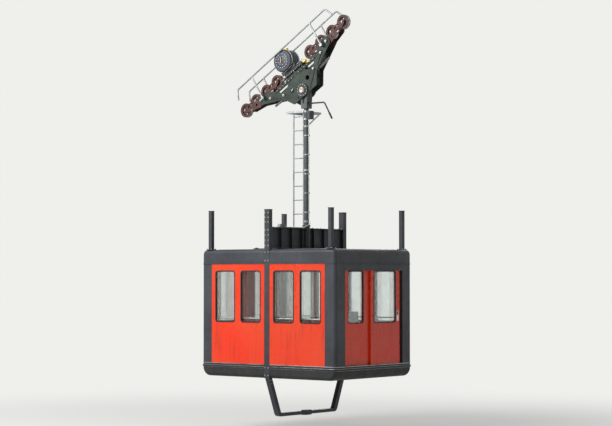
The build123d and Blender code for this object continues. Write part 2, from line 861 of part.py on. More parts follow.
# Corner posts on the roof: four capped square tubes
with BuildPart() as posts:
    post_centre_x = half_length - post_from_end
    post_centre_y = half_width - post_from_side
    with BuildSketch(level(roof_top_z)):
        with GridLocations(2 * post_centre_x, 2 * post_centre_y, 2, 2):
            RectangleRounded(post_width, post_width, corner_radius_small)
    extrude(amount=post_top_z - roof_top_z)
    with BuildSketch(level(roof_top_z)):
        with GridLocations(2 * post_centre_x, 2 * post_centre_y, 2, 2):
            RectangleRounded(post_foot_width, post_foot_width, corner_radius_small)
    extrude(amount=post_foot)
    with BuildSketch(level(roof_top_z + post_foot)):
        with GridLocations(2 * post_centre_x, 2 * post_centre_y, 2, 2):
            Rectangle(post_width - 2 * post_wall, post_width - 2 * post_wall)
    extrude(amount=post_top_z - roof_top_z - post_foot - post_cap, mode=Mode.SUBTRACT)
keep(posts, "corner_roof_posts")


def hatch_centre(way):
    """The middle of a hatch, uphill (1) or downhill (-1) of the hanger."""
    return (way * hatch_from_middle, 0)


# Floor: a deck with a rounded skirt, cross ribs open from below, and a hole for its hatch
with BuildPart() as floor:
    with BuildSketch(side(half_width, -1)) as long_section:
        with Locations((0, (deck_z + skirt_foot_z) / 2)):
            Rectangle(cabin_length, skirt_height)
        fillet(long_section.vertices().group_by(Axis.Y)[0], radius=skirt_end_radius)
    extrude(amount=-cabin_width)
    for face in floor.faces().filter_by(Axis.Y):
        fillet(face.edges().sort_by(Axis.Z)[:-1], radius=cabin_corner_radius)
    cell_length = (half_length - floor_edge - leg_width / 2 - 2 * floor_rib) / 3
    cell_width = (2 * (leg_inner - floor_side_edge) - 2 * floor_rib) / 3
    first_cell = (leg_width + floor_rib + cell_length) / 2
    cell_alongs = [first_cell + (cell_length + floor_rib) * i for i in range(3)]
    with BuildSketch(level(skirt_foot_z)):
        with Locations(*[(way * x, row * (cell_width + floor_rib))
                         for x in cell_alongs for way in (-1, 1) for row in (-1, 0, 1)]):
            RectangleRounded(cell_length, cell_width, floor_cell_corner)
    extrude(amount=skirt_height - deck_thickness, mode=Mode.SUBTRACT)
    with BuildSketch(level(skirt_foot_z)):
        with Locations((0, -half_width), (0, half_width)):
            Rectangle(leg_width, 2 * (half_width - leg_inner))
    extrude(amount=skirt_height, mode=Mode.SUBTRACT)
    with BuildSketch(level(deck_z)):
        with Locations(hatch_centre(1)):
            Rectangle(hatch_size + 2 * hatch_gap, hatch_size + 2 * hatch_gap)
    extrude(amount=-floor_lid_thickness, mode=Mode.SUBTRACT)
    with BuildSketch(level(deck_z)):
        with Locations(hatch_centre(1)):
            Rectangle(hatch_size - 2 * hatch_ledge, hatch_size - 2 * hatch_ledge)
    extrude(amount=-skirt_height, mode=Mode.SUBTRACT)
keep(floor, "floor_pan")

# Roof: a shell with a deep band round it, rounded above, notched for the legs
with BuildPart() as roof:
    with BuildSketch(side(half_width, -1)) as long_section:
        with Locations((0, (roof_top_z + roof_foot_z) / 2)):
            Rectangle(cabin_length, roof_band)
        fillet(long_section.vertices().group_by(Axis.Y)[-1], radius=roof_end_radius)
    extrude(amount=-cabin_width)
    for face in roof.faces().filter_by(Axis.Y):
        fillet(face.edges().sort_by(Axis.Z)[1:], radius=cabin_corner_radius)
    with BuildSketch(level(roof_foot_z)):
        RectangleRounded(
            cabin_length - 2 * pillar_thickness,
            2 * (leg_inner - leg_proud),
            roof_inner_radius,
        )
    extrude(amount=roof_band - roof_thickness, mode=Mode.SUBTRACT)
    with BuildSketch(level(roof_foot_z)):
        with Locations((0, -half_width), (0, half_width)):
            Rectangle(leg_width, 2 * (half_width - leg_inner))
    extrude(amount=roof_band, mode=Mode.SUBTRACT)
    with BuildSketch(level(roof_top_z)):
        with Locations(hatch_centre(-1)):
            Rectangle(hatch_size - 2 * hatch_ledge, hatch_size - 2 * hatch_ledge)
    extrude(amount=-roof_thickness, mode=Mode.SUBTRACT)
keep(roof, "roof_shell")

# Corner pillars: four L-sections between the skirt and the roof band
with BuildPart() as pillars:
    with BuildSketch(level(deck_z)):
        RectangleRounded(cabin_length, cabin_width, cabin_corner_radius)
        Rectangle(2 * end_recess, cabin_width - 2 * pillar_thickness, mode=Mode.SUBTRACT)
        Rectangle(cabin_length - 2 * pillar_along, cabin_width, mode=Mode.SUBTRACT)
        Rectangle(cabin_length, cabin_width - 2 * pillar_across, mode=Mode.SUBTRACT)
    extrude(amount=wall_height)
keep(pillars, "corner_pillars")

# Side walls: each half has two windows, with a seat behind each for its glass
half_panes = [
    half_wall_middle - (pane_width + pane_gap) / 2,
    half_wall_middle + (pane_width + pane_gap) / 2,
]
for name, way, along in (
    ("side_wall_near_downhill", -1, -1),
    ("side_wall_near_uphill", -1, 1),
    ("side_wall_far_downhill", 1, 1),
    ("side_wall_far_uphill", 1, -1),
):
    panes = [(along * x, pane_z) for x in half_panes]
    with BuildPart() as wall:
        with BuildSketch(side(half_width - wall_thickness, way)):
            with Locations((along * half_wall_middle, wall_z)):
                Rectangle(half_wall_length, wall_height)
            with Locations(*panes):
                RectangleRounded(pane_width, pane_height, pane_corner_radius, mode=Mode.SUBTRACT)
        extrude(amount=wall_thickness)
        with BuildSketch(side(half_width - wall_thickness, way)):
            with Locations(*panes):
                Rectangle(pane_width + 2 * pane_rebate, pane_height + 2 * pane_rebate)
        extrude(amount=wall_thickness - pane_seat_depth, mode=Mode.SUBTRACT)
    keep(wall, name)

for name, way in (("side_glass_near", -1), ("side_glass_far", 1)):
    with BuildPart() as glass:
        with BuildSketch(side(half_width - pane_seat_depth, way)):
            with Locations(*[(along * x, pane_z) for x in half_panes for along in (-1, 1)]):
                Rectangle(
                    pane_width + 2 * (pane_rebate - glass_clearance),
                    pane_height + 2 * (pane_rebate - glass_clearance),
                )
        extrude(amount=-glass_thickness)
    keep(glass, name)

# Ends: a fixed wall with a pane beside a doorway, and a leaf that slides outside it
door_head_z = roof_foot_z - doorway_head
leaf_foot_z = deck_z + door_floor_gap
rail_z = roof_foot_z - rail_drop
leaf_top_z = rail_z - track_lip - leaf_below_track
leaf_middle = (door_from + door_to) / 2
for place, way in (("uphill", 1), ("downhill", -1)):
    with BuildPart() as end_wall:
        with BuildSketch(end(end_recess - end_wall_thickness, way)):
            with Locations((0, wall_z)):
                Rectangle(2 * (end_recess_half_width + end_wall_lap), wall_height)
            with Locations(((doorway_from + doorway_to) / 2, (deck_z + door_head_z) / 2)):
                Rectangle(doorway_to - doorway_from, door_head_z - deck_z, mode=Mode.SUBTRACT)
            with Locations((end_pane_across, pane_z)):
                RectangleRounded(end_pane_width, pane_height, pane_corner_radius, mode=Mode.SUBTRACT)
        extrude(amount=end_wall_thickness)
        with BuildSketch(end(end_recess - end_wall_thickness, way)):
            with Locations((end_pane_across, pane_z)):
                Rectangle(end_pane_width + 2 * pane_rebate, pane_height + 2 * pane_rebate)
        extrude(amount=end_wall_thickness - pane_seat_depth, mode=Mode.SUBTRACT)
    keep(end_wall, f"end_wall_{place}")

    with BuildPart() as end_glass:
        with BuildSketch(end(end_recess - pane_seat_depth, way)):
            with Locations((end_pane_across, pane_z)):
                Rectangle(
                    end_pane_width + 2 * (pane_rebate - glass_clearance),
                    pane_height + 2 * (pane_rebate - glass_clearance),
                )
        extrude(amount=-glass_thickness)
    keep(end_glass, f"end_glass_{place}")

    # The track: a channel with a slot below, in which the leaf's two hangers slide
    neck_from = end_recess + door_gap + (door_thickness - hanger_neck) / 2
    neck_to = neck_from + hanger_neck
    with BuildPart() as track:
        with BuildSketch(end(end_recess, way)):
            with Locations((0, roof_foot_z - track_height / 2)):
                Rectangle(2 * end_recess_half_width, track_height)
        extrude(amount=pillar_thickness)
        with BuildSketch(end(end_recess, way)):
            with Locations((0, (roof_foot_z - track_plate + roof_foot_z - track_height) / 2)):
                Rectangle(2 * end_recess_half_width, track_height - track_plate)
        extrude(amount=pillar_thickness - track_plate, mode=Mode.SUBTRACT)
        with BuildSketch(end(end_recess, way)):
            with Locations((0, rail_z - track_lip / 2)):
                Rectangle(2 * end_recess_half_width, track_lip)
        extrude(amount=pillar_thickness)
        with BuildSketch(end(end_recess, way)):
            with Locations((0, (rail_z - track_lip + roof_foot_z) / 2)):
                Rectangle(2 * end_recess_half_width, roof_foot_z - rail_z + track_lip)
        extrude(amount=door_gap - stop_clearance)
        with BuildSketch(end(neck_from - track_clearance, way)):
            with Locations((0, rail_z - track_lip / 2)):
                Rectangle(2 * end_recess_half_width, track_lip)
        extrude(amount=hanger_neck + 2 * track_clearance, mode=Mode.SUBTRACT)
    keep(track, f"door_track_{place}")

    # The leaf: a framed panel with a large pane, a pull handle and two hangers
    hanger_places = [door_from + hanger_from_edge, door_to - hanger_from_edge]
    with BuildPart() as leaf:
        with BuildSketch(end(end_recess + door_gap, way)):
            with Locations((leaf_middle, (leaf_foot_z + leaf_top_z) / 2)):
                Rectangle(door_to - door_from, leaf_top_z - leaf_foot_z)
            with Locations((door_pane_across, pane_z)):
                RectangleRounded(door_pane_width, pane_height, pane_corner_radius, mode=Mode.SUBTRACT)
        extrude(amount=door_thickness)
        with BuildSketch(end(end_recess + door_gap, way)):
            with Locations((door_pane_across, pane_z)):
                Rectangle(door_pane_width + 2 * pane_rebate, pane_height + 2 * pane_rebate)
        extrude(amount=door_thickness - pane_seat_depth, mode=Mode.SUBTRACT)
        with BuildSketch(end(neck_from, way)):
            with Locations(*[(y, (leaf_top_z + rail_z + track_clearance) / 2) for y in hanger_places]):
                Rectangle(hanger_head_length, rail_z + track_clearance - leaf_top_z)
        extrude(amount=hanger_neck)
        head_z = rail_z + track_clearance + hanger_head_height / 2
        with BuildSketch(end((neck_from + neck_to - hanger_head_width) / 2, way)):
            with Locations(*[(y, head_z) for y in hanger_places]):
                Rectangle(hanger_head_length, hanger_head_height)
        extrude(amount=hanger_head_width)
    keep(leaf, f"door_{place}")

    with BuildPart() as door_glass:
        with BuildSketch(end(end_recess + door_gap + door_thickness - pane_seat_depth, way)):
            with Locations((door_pane_across, pane_z)):
                Rectangle(
                    door_pane_width + 2 * (pane_rebate - glass_clearance),
                    pane_height + 2 * (pane_rebate - glass_clearance),
                )
        extrude(amount=-glass_thickness)
    keep(door_glass, f"door_glass_{place}")

# Hatches: a lid with two hinge knuckles at its outer edge
hinge_along = hatch_from_middle + hatch_size / 2
for name, way, thickness, seat_z in (
    ("roof_hatch", -1, roof_lid_thickness, roof_top_z),
    ("floor_hatch", 1, floor_lid_thickness, deck_z - floor_lid_thickness),
):
    top_z = seat_z + thickness
    with BuildPart() as lid:
        with BuildSketch(level(seat_z)):
            with Locations(hatch_centre(way)):
                Rectangle(hatch_size, hatch_size)
        extrude(amount=thickness)
        for y in (-knuckle_spread / 2, knuckle_spread / 2):
            with BuildSketch(side(knuckle_length / 2 - y, -1)):
                with Locations((way * hinge_along, top_z + knuckle_radius)):
                    Circle(knuckle_radius)
                with Locations((way * (hinge_along - knuckle_radius), top_z + knuckle_radius / 2)):
                    Rectangle(2 * knuckle_radius, knuckle_radius)
            extrude(amount=-knuckle_length)
    keep(lid, name)

# Inside: four grab poles from deck to ceiling, and the attendant's console
with BuildPart() as poles:
    with BuildSketch(level(deck_z)):
        with GridLocations(2 * pole_along, 2 * pole_across, 2, 2):
            Circle(pole_radius)
    extrude(amount=ceiling_z - deck_z)
    with BuildSketch(level(deck_z)):
        with GridLocations(2 * pole_along, 2 * pole_across, 2, 2):
            Circle(pole_radius + pole_flange)
    extrude(amount=pole_flange_height)
keep(poles, "grab_poles")

# Window rails: a tube across each half wall's two windows, on stubs beside and between them
rail_height_z = deck_z + rail_height
rail_y = half_width - wall_thickness - rail_from_wall
pane_reach = pane_width + pane_gap / 2 + pane_rebate
stub_reach = (half_wall_length / 2 + pane_reach) / 2
rail_reach = half_wall_length / 2 - rail_end_gap
with BuildPart() as rails:
    for way in (-1, 1):
        for along in (-1, 1):
            with BuildSketch(end(along * (half_wall_middle - rail_reach), 1)):
                with Locations((way * rail_y, rail_height_z)):
                    Circle(rail_radius)
            extrude(amount=along * 2 * rail_reach)
        with BuildSketch(side(half_width - wall_thickness, way)):
            with Locations(*[(along * (half_wall_middle + x), rail_height_z)
                             for along in (-1, 1) for x in (-stub_reach, 0, stub_reach)]):
                Circle(rail_stub_radius)
        extrude(amount=-rail_from_wall)
keep(rails, "window_rails")

console_inner = end_recess - end_wall_thickness
console_side = end_recess_half_width + end_wall_lap - console_from_side
console_outer = console_inner - console_length
with BuildPart() as console:
    with BuildSketch(side(console_side - console_width, -1)):
        with BuildLine():
            Polyline(
                (console_inner, deck_z),
                (console_inner, deck_z + console_height + console_rise),
                (console_inner - console_shelf, deck_z + console_height + console_rise),
                (console_outer, deck_z + console_height),
                (console_outer + console_toe, deck_z + console_height - console_slope),
                (console_outer + console_toe, deck_z),
                close=True,
            )
        make_face()
    extrude(amount=console_width)
    fillet(console.edges().filter_by(Axis.Y).group_by(Axis.X)[0], radius=console_edge_radius)
keep(console, "operator_console")

# Roof lamp: a small housing on a stub, on the beam's top flange
with BuildPart() as lamp:
    with BuildSketch(level(beam_top_z)):
        with Locations((0, -lamp_from_middle)):
            RectangleRounded(lamp_length, lamp_width, corner_radius_small)
    extrude(amount=lamp_height)
    chamfer(lamp.faces().sort_by(Axis.Z)[-1].edges(), length=lamp_chamfer)
keep(lamp, "roof_lamp")
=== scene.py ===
"""Looks of an aerial tramway car: finishes, seals, fasteners, fittings and the studio.

+X is uphill, +Z is up, and the side that faces the viewer is -Y. The origin is on the axis of the
track that the wheels run on, at the middle of the carriage. The fittings are worked out in
millimetres, which become metres where a mesh is made. The studio is in metres.
"""

import json
from math import cos, pi, radians, sin

import bmesh
import bpy
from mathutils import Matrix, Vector


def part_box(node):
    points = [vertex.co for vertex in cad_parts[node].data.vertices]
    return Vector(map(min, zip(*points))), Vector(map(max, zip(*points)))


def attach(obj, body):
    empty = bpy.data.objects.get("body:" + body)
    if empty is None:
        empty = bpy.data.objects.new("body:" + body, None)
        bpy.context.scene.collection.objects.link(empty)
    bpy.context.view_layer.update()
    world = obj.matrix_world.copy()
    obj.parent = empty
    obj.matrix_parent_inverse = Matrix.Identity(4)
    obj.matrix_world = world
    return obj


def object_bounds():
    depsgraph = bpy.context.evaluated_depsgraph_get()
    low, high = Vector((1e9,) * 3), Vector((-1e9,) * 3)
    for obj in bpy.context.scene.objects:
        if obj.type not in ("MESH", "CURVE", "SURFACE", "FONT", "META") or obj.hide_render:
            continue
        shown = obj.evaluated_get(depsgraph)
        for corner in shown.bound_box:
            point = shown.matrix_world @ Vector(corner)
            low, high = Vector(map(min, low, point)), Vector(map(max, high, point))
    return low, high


bl_info = {
    "name": "Tramway car looks",
    "version": (1, 0, 0),
    "blender": (4, 5, 0),
    "location": "3D View > Sidebar > Tramway car",
    "description": "Finishes and fittings for an aerial tramway car built round its frame",
    "category": "Object",
}

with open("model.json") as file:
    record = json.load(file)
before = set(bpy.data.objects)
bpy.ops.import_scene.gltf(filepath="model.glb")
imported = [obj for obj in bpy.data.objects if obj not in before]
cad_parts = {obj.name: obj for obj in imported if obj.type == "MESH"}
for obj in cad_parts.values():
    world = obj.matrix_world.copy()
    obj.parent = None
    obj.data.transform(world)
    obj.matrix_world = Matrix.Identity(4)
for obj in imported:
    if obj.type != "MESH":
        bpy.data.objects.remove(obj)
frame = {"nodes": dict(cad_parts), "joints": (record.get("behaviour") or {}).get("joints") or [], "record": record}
cad_low, cad_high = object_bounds()

MM = 0.001
ENDS = (("uphill", 1), ("downhill", -1))
CORNERS = ((-1, -1), (-1, 1), (1, -1), (1, 1))
NEAR, FAR, UP_END, DOWN_END = (0, -1, 0), (0, 1, 0), (1, 0, 0), (-1, 0, 0)
UP, DOWN = (0, 0, 1), (0, 0, -1)


def joint_place(name):
    """Where a joint of the frame is, in millimetres."""
    return Vector(next(joint["pos_m"] for joint in frame["joints"] if joint["name"] == name)) / MM


def span(node):
    """The lowest and highest corners of a node's box, in millimetres."""
    low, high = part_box(node)
    return Vector(low) / MM, Vector(high) / MM


# The running gear: distances along the track and off it, and how far faces lie out from its plane
PIN_X = joint_place("hanger_swing").x
WHEEL_CENTRES = [joint_place(f"wheel_{n}_spin") for n in range(1, 9)]
UPHILL = (WHEEL_CENTRES[-1] - WHEEL_CENTRES[0]).normalized()
OFF_TRACK = Vector((-UPHILL.z, 0, UPHILL.x))
WHEEL_OFF = WHEEL_CENTRES[0].dot(OFF_TRACK)
WHEEL_ALONGS = [centre.dot(UPHILL) for centre in WHEEL_CENTRES]
TRUCK_ALONGS = [(WHEEL_ALONGS[i] + WHEEL_ALONGS[i + 1]) / 2 for i in (0, 2, 4, 6)]
ROCKER_ALONGS = [(TRUCK_ALONGS[i] + TRUCK_ALONGS[i + 1]) / 2 for i in (0, 2)]
PIN_OFF, ROCKER_PIN_OFF, TRUCK_PIN_OFF = -450, 40, 60
SOCKET_PIN_ALONG, SOCKET_PIN_OFF = 470, -240
SPACER_ALONG, SPACER_OFF = 800, -80
HANDRAIL_FOOT_ALONG, HANDRAIL_FOOT_OFF = 930, 15
AXLE_FACE, TRUCK_PIN_FACE, HANDRAIL_FACE = 66, 91, 207
FRAME_FACE, BOSS_FACE, DAMPER_FACE, CAP_FACE = 115, 129, 147, 167
RIB = 12
DRUM_RADIUS, DRUM_HALF = 240, 165
DRUM_ALONG, DRUM_OFF = -100, 380
BRAKE_END, CYLINDER_SIDE, CYLINDER_OFF = 250, 65, 58
SPRING_STARTS, SPRING_SIDE, SPRING_OFF = (-205, 45), 120, 40
SPRING_LENGTH, SPRING_TURNS = 150, 9

# The groove's section: the track's radius, the arc's middle from the axle and the flange's edge
TRACK_RADIUS, GROOVE_MIDDLE, FLANGE_RADIUS = 24, 155, 150

# The cabin: its boxes from the frame, and the heights and edges that its pieces share
ROOF_LOW, ROOF_HIGH = span("roof_shell")
FLOOR_LOW, FLOOR_HIGH = span("floor_pan")
HALF_LENGTH, HALF_WIDTH = (ROOF_HIGH.x - ROOF_LOW.x) / 2, ROOF_HIGH.y
ROOF_TOP, ROOF_FOOT = ROOF_HIGH.z, ROOF_LOW.z
DECK, SKIRT_FOOT = FLOOR_HIGH.z, FLOOR_LOW.z
CEILING = ROOF_TOP - 80
SILL = DECK + 740
POST_TOP = span("frame_leg_near")[1].z
BEAM_TOP = span("roof_cross_beam")[1].z - 40
POST_X, POST_Y = HALF_LENGTH - 177, HALF_WIDTH - 85
LEG_Y = HALF_WIDTH - 45
LEG_HALF = 70
CABIN_BEND = 70
WALL_END = HALF_LENGTH - 270
PILLAR_EDGE = HALF_WIDTH - 310
# The door leaves: their height and half their thickness, and their lock plates' height and inset
LEAF_HEIGHT, LEAF_MIDDLE = 1955, 17
LOCK_HEIGHT, LOCK_INSET = DECK + 980, 62
PANE_LAP, PANE_SEAT, PANE_BEND = 12, 20, 55
# The rubbing strip's middle under the deck, the hatch lid over the roof, and the junction box
STRIP_DROP = 58
LID_HEIGHT = 36
BOX_HEIGHT = -900
POLE_PLACES = [(x * 620, y * 560) for x, y in CORNERS]
LIGHT_PLACES = [(x * 820, y * 860) for x, y in CORNERS]
# The roof's pressed beads, as Y, and its walkway mats, as x, y, length and width
BEAD_PLACES = (-1060, -820, -580, 580, 820, 1060)
ROOF_MATS = ((880, 0, 1150, 560), (190, -400, 200, 230), (-300, 0, 240, 560))

# Rectangles on the plan, as x from and to and y from and to, with X from the main pin
ROOM = (-1630, 1630, -1210, 1210)
HATCH_FLOOR = (505, 1205, -345, 345)
HATCH_LID = (535, 1150, -315, 315)
HATCH_ROOF = (-1200, -500, -345, 345)
# Those that stand on the floor, and how far a stud's middle keeps from an edge
CONSOLE = (1300, 1640, -970, -390)
STANDING = [HATCH_FLOOR, CONSOLE] + [(x - 45, x + 45, y - 45, y + 45) for x, y in POLE_PLACES]
STUD_CLEAR = 20

# The panes: the pieces' name, body, glass nodes with their facings, wall thickness, how far the bead
# stands proud, and the inner clamp's inset from the pane's edge and width
GLAZING = [
    ("sides", "cabin", [("side_glass_near", NEAR), ("side_glass_far", FAR)], 50, 4.5, 0, 34),
    ("ends", "cabin", [("end_glass_uphill", UP_END), ("end_glass_downhill", DOWN_END)], 45, 1.5, 0, 34),
    ("door_uphill", "door_uphill", [("door_glass_uphill", UP_END)], 33, 3, 10, 20),
    ("door_downhill", "door_downhill", [("door_glass_downhill", DOWN_END)], 33, 3, 10, 20),
]

# The hoop's bolts, as Y and the depth under the skirt's foot
HOOP_BOLTS = ((1170, 40), (1215, 40), (1140, 110), (1185, 110))

# The studio, in metres
FLOOR_DROP = 0.28
FLOOR_REACH = 400.0
LAMP_DISTANCE = 16.0
PICTURE_ASPECT = 612 / 426
SENSOR = 36.0
PALE, BACKDROP, SKY = "#E9E9E6", "#EFEFEC", "#F1F3F6"
SKY_STRENGTH = 0.22
# The floor fades into the backdrop between these distances, and starts at this share of it
FADE_FROM, FADE_TO, NEAR_PALE = 2.5, 15.0, 0.42


def on_carriage(along, y, off):
    """A point given along the track, across it and off it."""
    return UPHILL * along + OFF_TRACK * off + Vector((0, y, 0))


def upright(x, y, z):
    """A point of the cabin, its X given from the main pin."""
    return Vector((PIN_X + x, y, z))


def both_sides(alongs, off, face):
    """Places on both sides of the carriage: at each along, this far off the track and out from it."""
    return [(on_carriage(along, side * face, off), (0, side, 0)) for along in alongs for side in (-1, 1)]


def bolt_circle(centre, facing, radius, count, across=UP_END):
    """Places evenly round a circle, the first half a step from its line across, that face as it does."""
    across = Vector(across)
    other = Vector(facing).cross(across)
    angles = [2 * pi * (i + 0.5) / count for i in range(count)]
    return [(centre + across * radius * cos(a) + other * radius * sin(a), facing) for a in angles]


def inside(x, y, box, margin):
    """Whether a place lies in a rectangle grown by a margin."""
    return box[0] - margin < x < box[1] + margin and box[2] - margin < y < box[3] + margin


def round_hatch(hatch):
    """Four rectangles that cover the room but for a hatch."""
    x0, x1, y0, y1 = ROOM
    from_x, to_x, from_y, to_y = hatch
    return [(x0, from_x, y0, y1), (to_x, x1, y0, y1),
            (from_x, to_x, y0, from_y), (from_x, to_x, to_y, y1)]


class CarColours(bpy.types.PropertyGroup):
    """Paint colours, as sRGB hex."""

    cabin: bpy.props.StringProperty(
        name="Cabin panels", description="Gloss enamel of the wall panels", default="#F0340F")
    frame: bpy.props.StringProperty(
        name="Cabin frame", description="Satin paint of the pillars, posts and roof", default="#2F3238")
    skirt: bpy.props.StringProperty(
        name="Skirt", description="Satin paint of the skirt", default="#181A1C")
    carriage: bpy.props.StringProperty(
        name="Carriage frame", description="Paint of the carriage's main frame", default="#1B2C23")
    trucks: bpy.props.StringProperty(
        name="Trucks", description="Red oxide paint of the trucks and wheels", default="#4B221E")
    drum: bpy.props.StringProperty(
        name="Drum", description="Enamel of the hydraulic drum", default="#40444F")
    hanger: bpy.props.StringProperty(
        name="Hanger", description="Paint of the hanger's head and tube", default="#4E5254")


class CarSizes(bpy.types.PropertyGroup):
    """Sizes of what is fitted to the car."""

    rivet_pitch: bpy.props.FloatProperty(
        name="Rivet pitch", description="Distance between rivets in a row", default=95 * MM, unit="LENGTH")
    rivet_radius: bpy.props.FloatProperty(
        name="Rivet radius", description="Radius of a rivet's head", default=6.5 * MM, unit="LENGTH")
    seal_radius: bpy.props.FloatProperty(
        name="Seal radius", description="Radius of the rubber bead round a pane",
        default=9 * MM, unit="LENGTH")
    bolt_radius: bpy.props.FloatProperty(
        name="Bolt radius", description="Radius over the corners of a frame bolt's head",
        default=13 * MM, unit="LENGTH")
    strip_height: bpy.props.FloatProperty(
        name="Rubbing strip height", description="Height of the strip round the skirt",
        default=34 * MM, unit="LENGTH")
    stud_pitch: bpy.props.FloatProperty(
        name="Floor stud pitch", description="Distance between the studs of the floor mat",
        default=80 * MM, unit="LENGTH")


class StudioSettings(bpy.types.PropertyGroup):
    """Where the viewer stands, and the light."""

    azimuth: bpy.props.FloatProperty(
        name="Azimuth", description="Viewing direction round the car", default=radians(39), subtype="ANGLE")
    elevation: bpy.props.FloatProperty(
        name="Elevation", description="Viewing direction above the horizon", default=radians(-2),
        subtype="ANGLE")
    distance: bpy.props.FloatProperty(
        name="Distance", description="From the viewer to the car", default=37.0, unit="LENGTH")
    margin: bpy.props.FloatProperty(
        name="Margin", description="Picture height over the car's height", default=1.06)
    key_strength: bpy.props.FloatProperty(
        name="Key light", description="Power of the main lamp in watts", default=2550.0)
    fill_strength: bpy.props.FloatProperty(
        name="Fill light", description="Power of the fill lamp in watts", default=30.0)
    back_strength: bpy.props.FloatProperty(
        name="Back light", description="Power of the lamp behind the car in watts", default=800.0)


def linear(hex_colour):
    """A linear RGBA colour from an sRGB hex string."""
    channels = [int(hex_colour[i:i + 2], 16) / 255 for i in (1, 3, 5)]
    return tuple(c / 12.92 if c <= 0.04045 else ((c + 0.055) / 1.055) ** 2.4 for c in channels) + (1.0,)


def add(tree, kind, inputs=None, **settings):
    """Add a node: settings are its own, inputs are values or sockets of other nodes."""
    made = tree.nodes.new(kind)
    for name, value in settings.items():
        setattr(made, name, value)
    for name, value in (inputs or {}).items():
        socket = made.inputs[name]
        if isinstance(value, bpy.types.NodeSocket):
            tree.links.new(value, socket)
        else:
            socket.default_value = value
    return made


def scale_for(size_mm):
    """The texture scale whose features are about this many millimetres across."""
    return 1000 / size_mm


def new_finish(name):
    """A material with an empty tree."""
    material = bpy.data.materials.new(name)
    material.use_nodes = True
    material.node_tree.nodes.clear()
    return material, material.node_tree


def patches(tree, size_mm, low, high, detail=4.0, stretch=(1, 1, 1), values=(0.0, 1.0)):
    """Irregular patches of this size: the first value where their pattern is low, the second where high."""
    place = add(tree, "ShaderNodeMapping", {
        "Vector": add(tree, "ShaderNodeTexCoord").outputs["Object"], "Scale": stretch,
    })
    pattern = add(tree, "ShaderNodeTexNoise", {
        "Vector": place.outputs["Vector"], "Scale": scale_for(size_mm), "Detail": detail,
    })
    return add(tree, "ShaderNodeMapRange", {
        "Value": pattern.outputs["Fac"], "From Min": low, "From Max": high,
        "To Min": values[0], "To Max": values[1],
    }).outputs["Result"]


def broken(tree, mask, size_mm, low, high):
    """A mask broken up by patches of this size."""
    pattern = patches(tree, size_mm, low, high, detail=5)
    return add(tree, "ShaderNodeMath", {0: mask, 1: pattern}, operation="MULTIPLY").outputs[0]


def rain_streaks(tree, strength):
    """A mask of the thin upright streaks that rain leaves on a wall, up to this strength."""
    fine = patches(tree, 60, 0.50, 0.74, stretch=(1, 1, 0.06))
    broad = patches(tree, 700, 0.40, 0.62, values=(0, strength))
    return add(tree, "ShaderNodeMath", {0: fine, 1: broad}, operation="MULTIPLY").outputs[0]


def edge_wear(tree, reach_mm, strength):
    """A mask of rubbed edges, broken up: where a rounded copy of the surface would face another way."""
    rounded = add(tree, "ShaderNodeBevel", {"Radius": reach_mm * MM}, samples=6)
    match = add(tree, "ShaderNodeVectorMath", {
        0: rounded.outputs["Normal"], 1: add(tree, "ShaderNodeNewGeometry").outputs["Normal"],
    }, operation="DOT_PRODUCT")
    edge = add(tree, "ShaderNodeMapRange", {
        "Value": match.outputs["Value"], "From Min": 0.995, "From Max": 0.90, "To Max": strength,
    })
    return broken(tree, edge.outputs["Result"], 24, 0.50, 0.60)


def hollow_shade_and_grime(tree, reach_mm, strength):
    """A mask of a piece's own corners and recesses, broken up: painted shade there, with the dust and grease that
    settle.
    """
    # Painted shade: the less open air a spot sees, the darker it is painted, together with the grime that settles
    # there
    open_air = add(tree, "ShaderNodeAmbientOcclusion", {
        "Distance": reach_mm * MM,
    }, samples=4, only_local=True)
    corner = add(tree, "ShaderNodeMapRange", {
        "Value": open_air.outputs["AO"], "From Min": 0.95, "From Max": 0.45, "To Max": strength,
    })
    return broken(tree, corner.outputs["Result"], 45, 0.25, 0.55)


def layered(tree, base, *layers):
    """A colour built up in layers, each a mask and the colour that it lays over those below."""
    shade = linear(base)
    # Of the sockets that a Mix node has, 0 is its factor and 6 and 7 are its two colours
    for mask, colour in layers:
        shade = add(tree, "ShaderNodeMix", {
            0: mask, 6: shade, 7: linear(colour),
        }, data_type="RGBA").outputs[2]
    return shade


def surface(material, tree, colour, roughness, height, bump_mm, edge_mm=3.0, **fixed):
    """Close a finish: rounded edges, bump, and a shader with its fixed numbers on its sockets."""
    edges = add(tree, "ShaderNodeBevel", {"Radius": edge_mm * MM}, samples=4)
    bump = add(tree, "ShaderNodeBump", {
        "Height": height, "Distance": bump_mm * MM, "Normal": edges.outputs["Normal"],
    })
    shader = add(tree, "ShaderNodeBsdfPrincipled", {
        "Base Color": colour, "Roughness": roughness, "Normal": bump.outputs["Normal"],
        **{name.replace("_", " "): value for name, value in fixed.items()},
    })
    add(tree, "ShaderNodeOutputMaterial", {"Surface": shader.outputs["BSDF"]})
    return material


def paint(name, colour, faded, dirt_and_shade, roughness, streaks=0.5, smears=0.25, grime_and_shade=0.5, chip="#8C8F8E"):
    """Sprayed paint on sheet or castings: faded patches, streaks, smears, painted shade and grime in corners,
    rubbed edges.

    The dimples of its skin are drawn 4 mm wide, coarser than real ones, so that they show.
    """
    material, tree = new_finish(name)
    # The dirt colour also darkens corners and recesses as painted shade, together with settled grime
    shade = layered(
        tree, colour, (patches(tree, 900, 0.35, 0.75), faded), (rain_streaks(tree, streaks), dirt_and_shade),
        (patches(tree, 110, 0.42, 0.66, values=(0, smears)), dirt_and_shade), (hollow_shade_and_grime(tree, 70, grime_and_shade), dirt_and_shade),
        (edge_wear(tree, 7, 0.6), chip))
    rough = patches(tree, 160, 0.3, 0.8, values=(roughness, roughness + 0.22))
    dimples = patches(tree, 4, 0.2, 0.8, detail=2)
    return surface(material, tree, shade, rough, dimples, 0.12, Specular_IOR_Level=0.38)


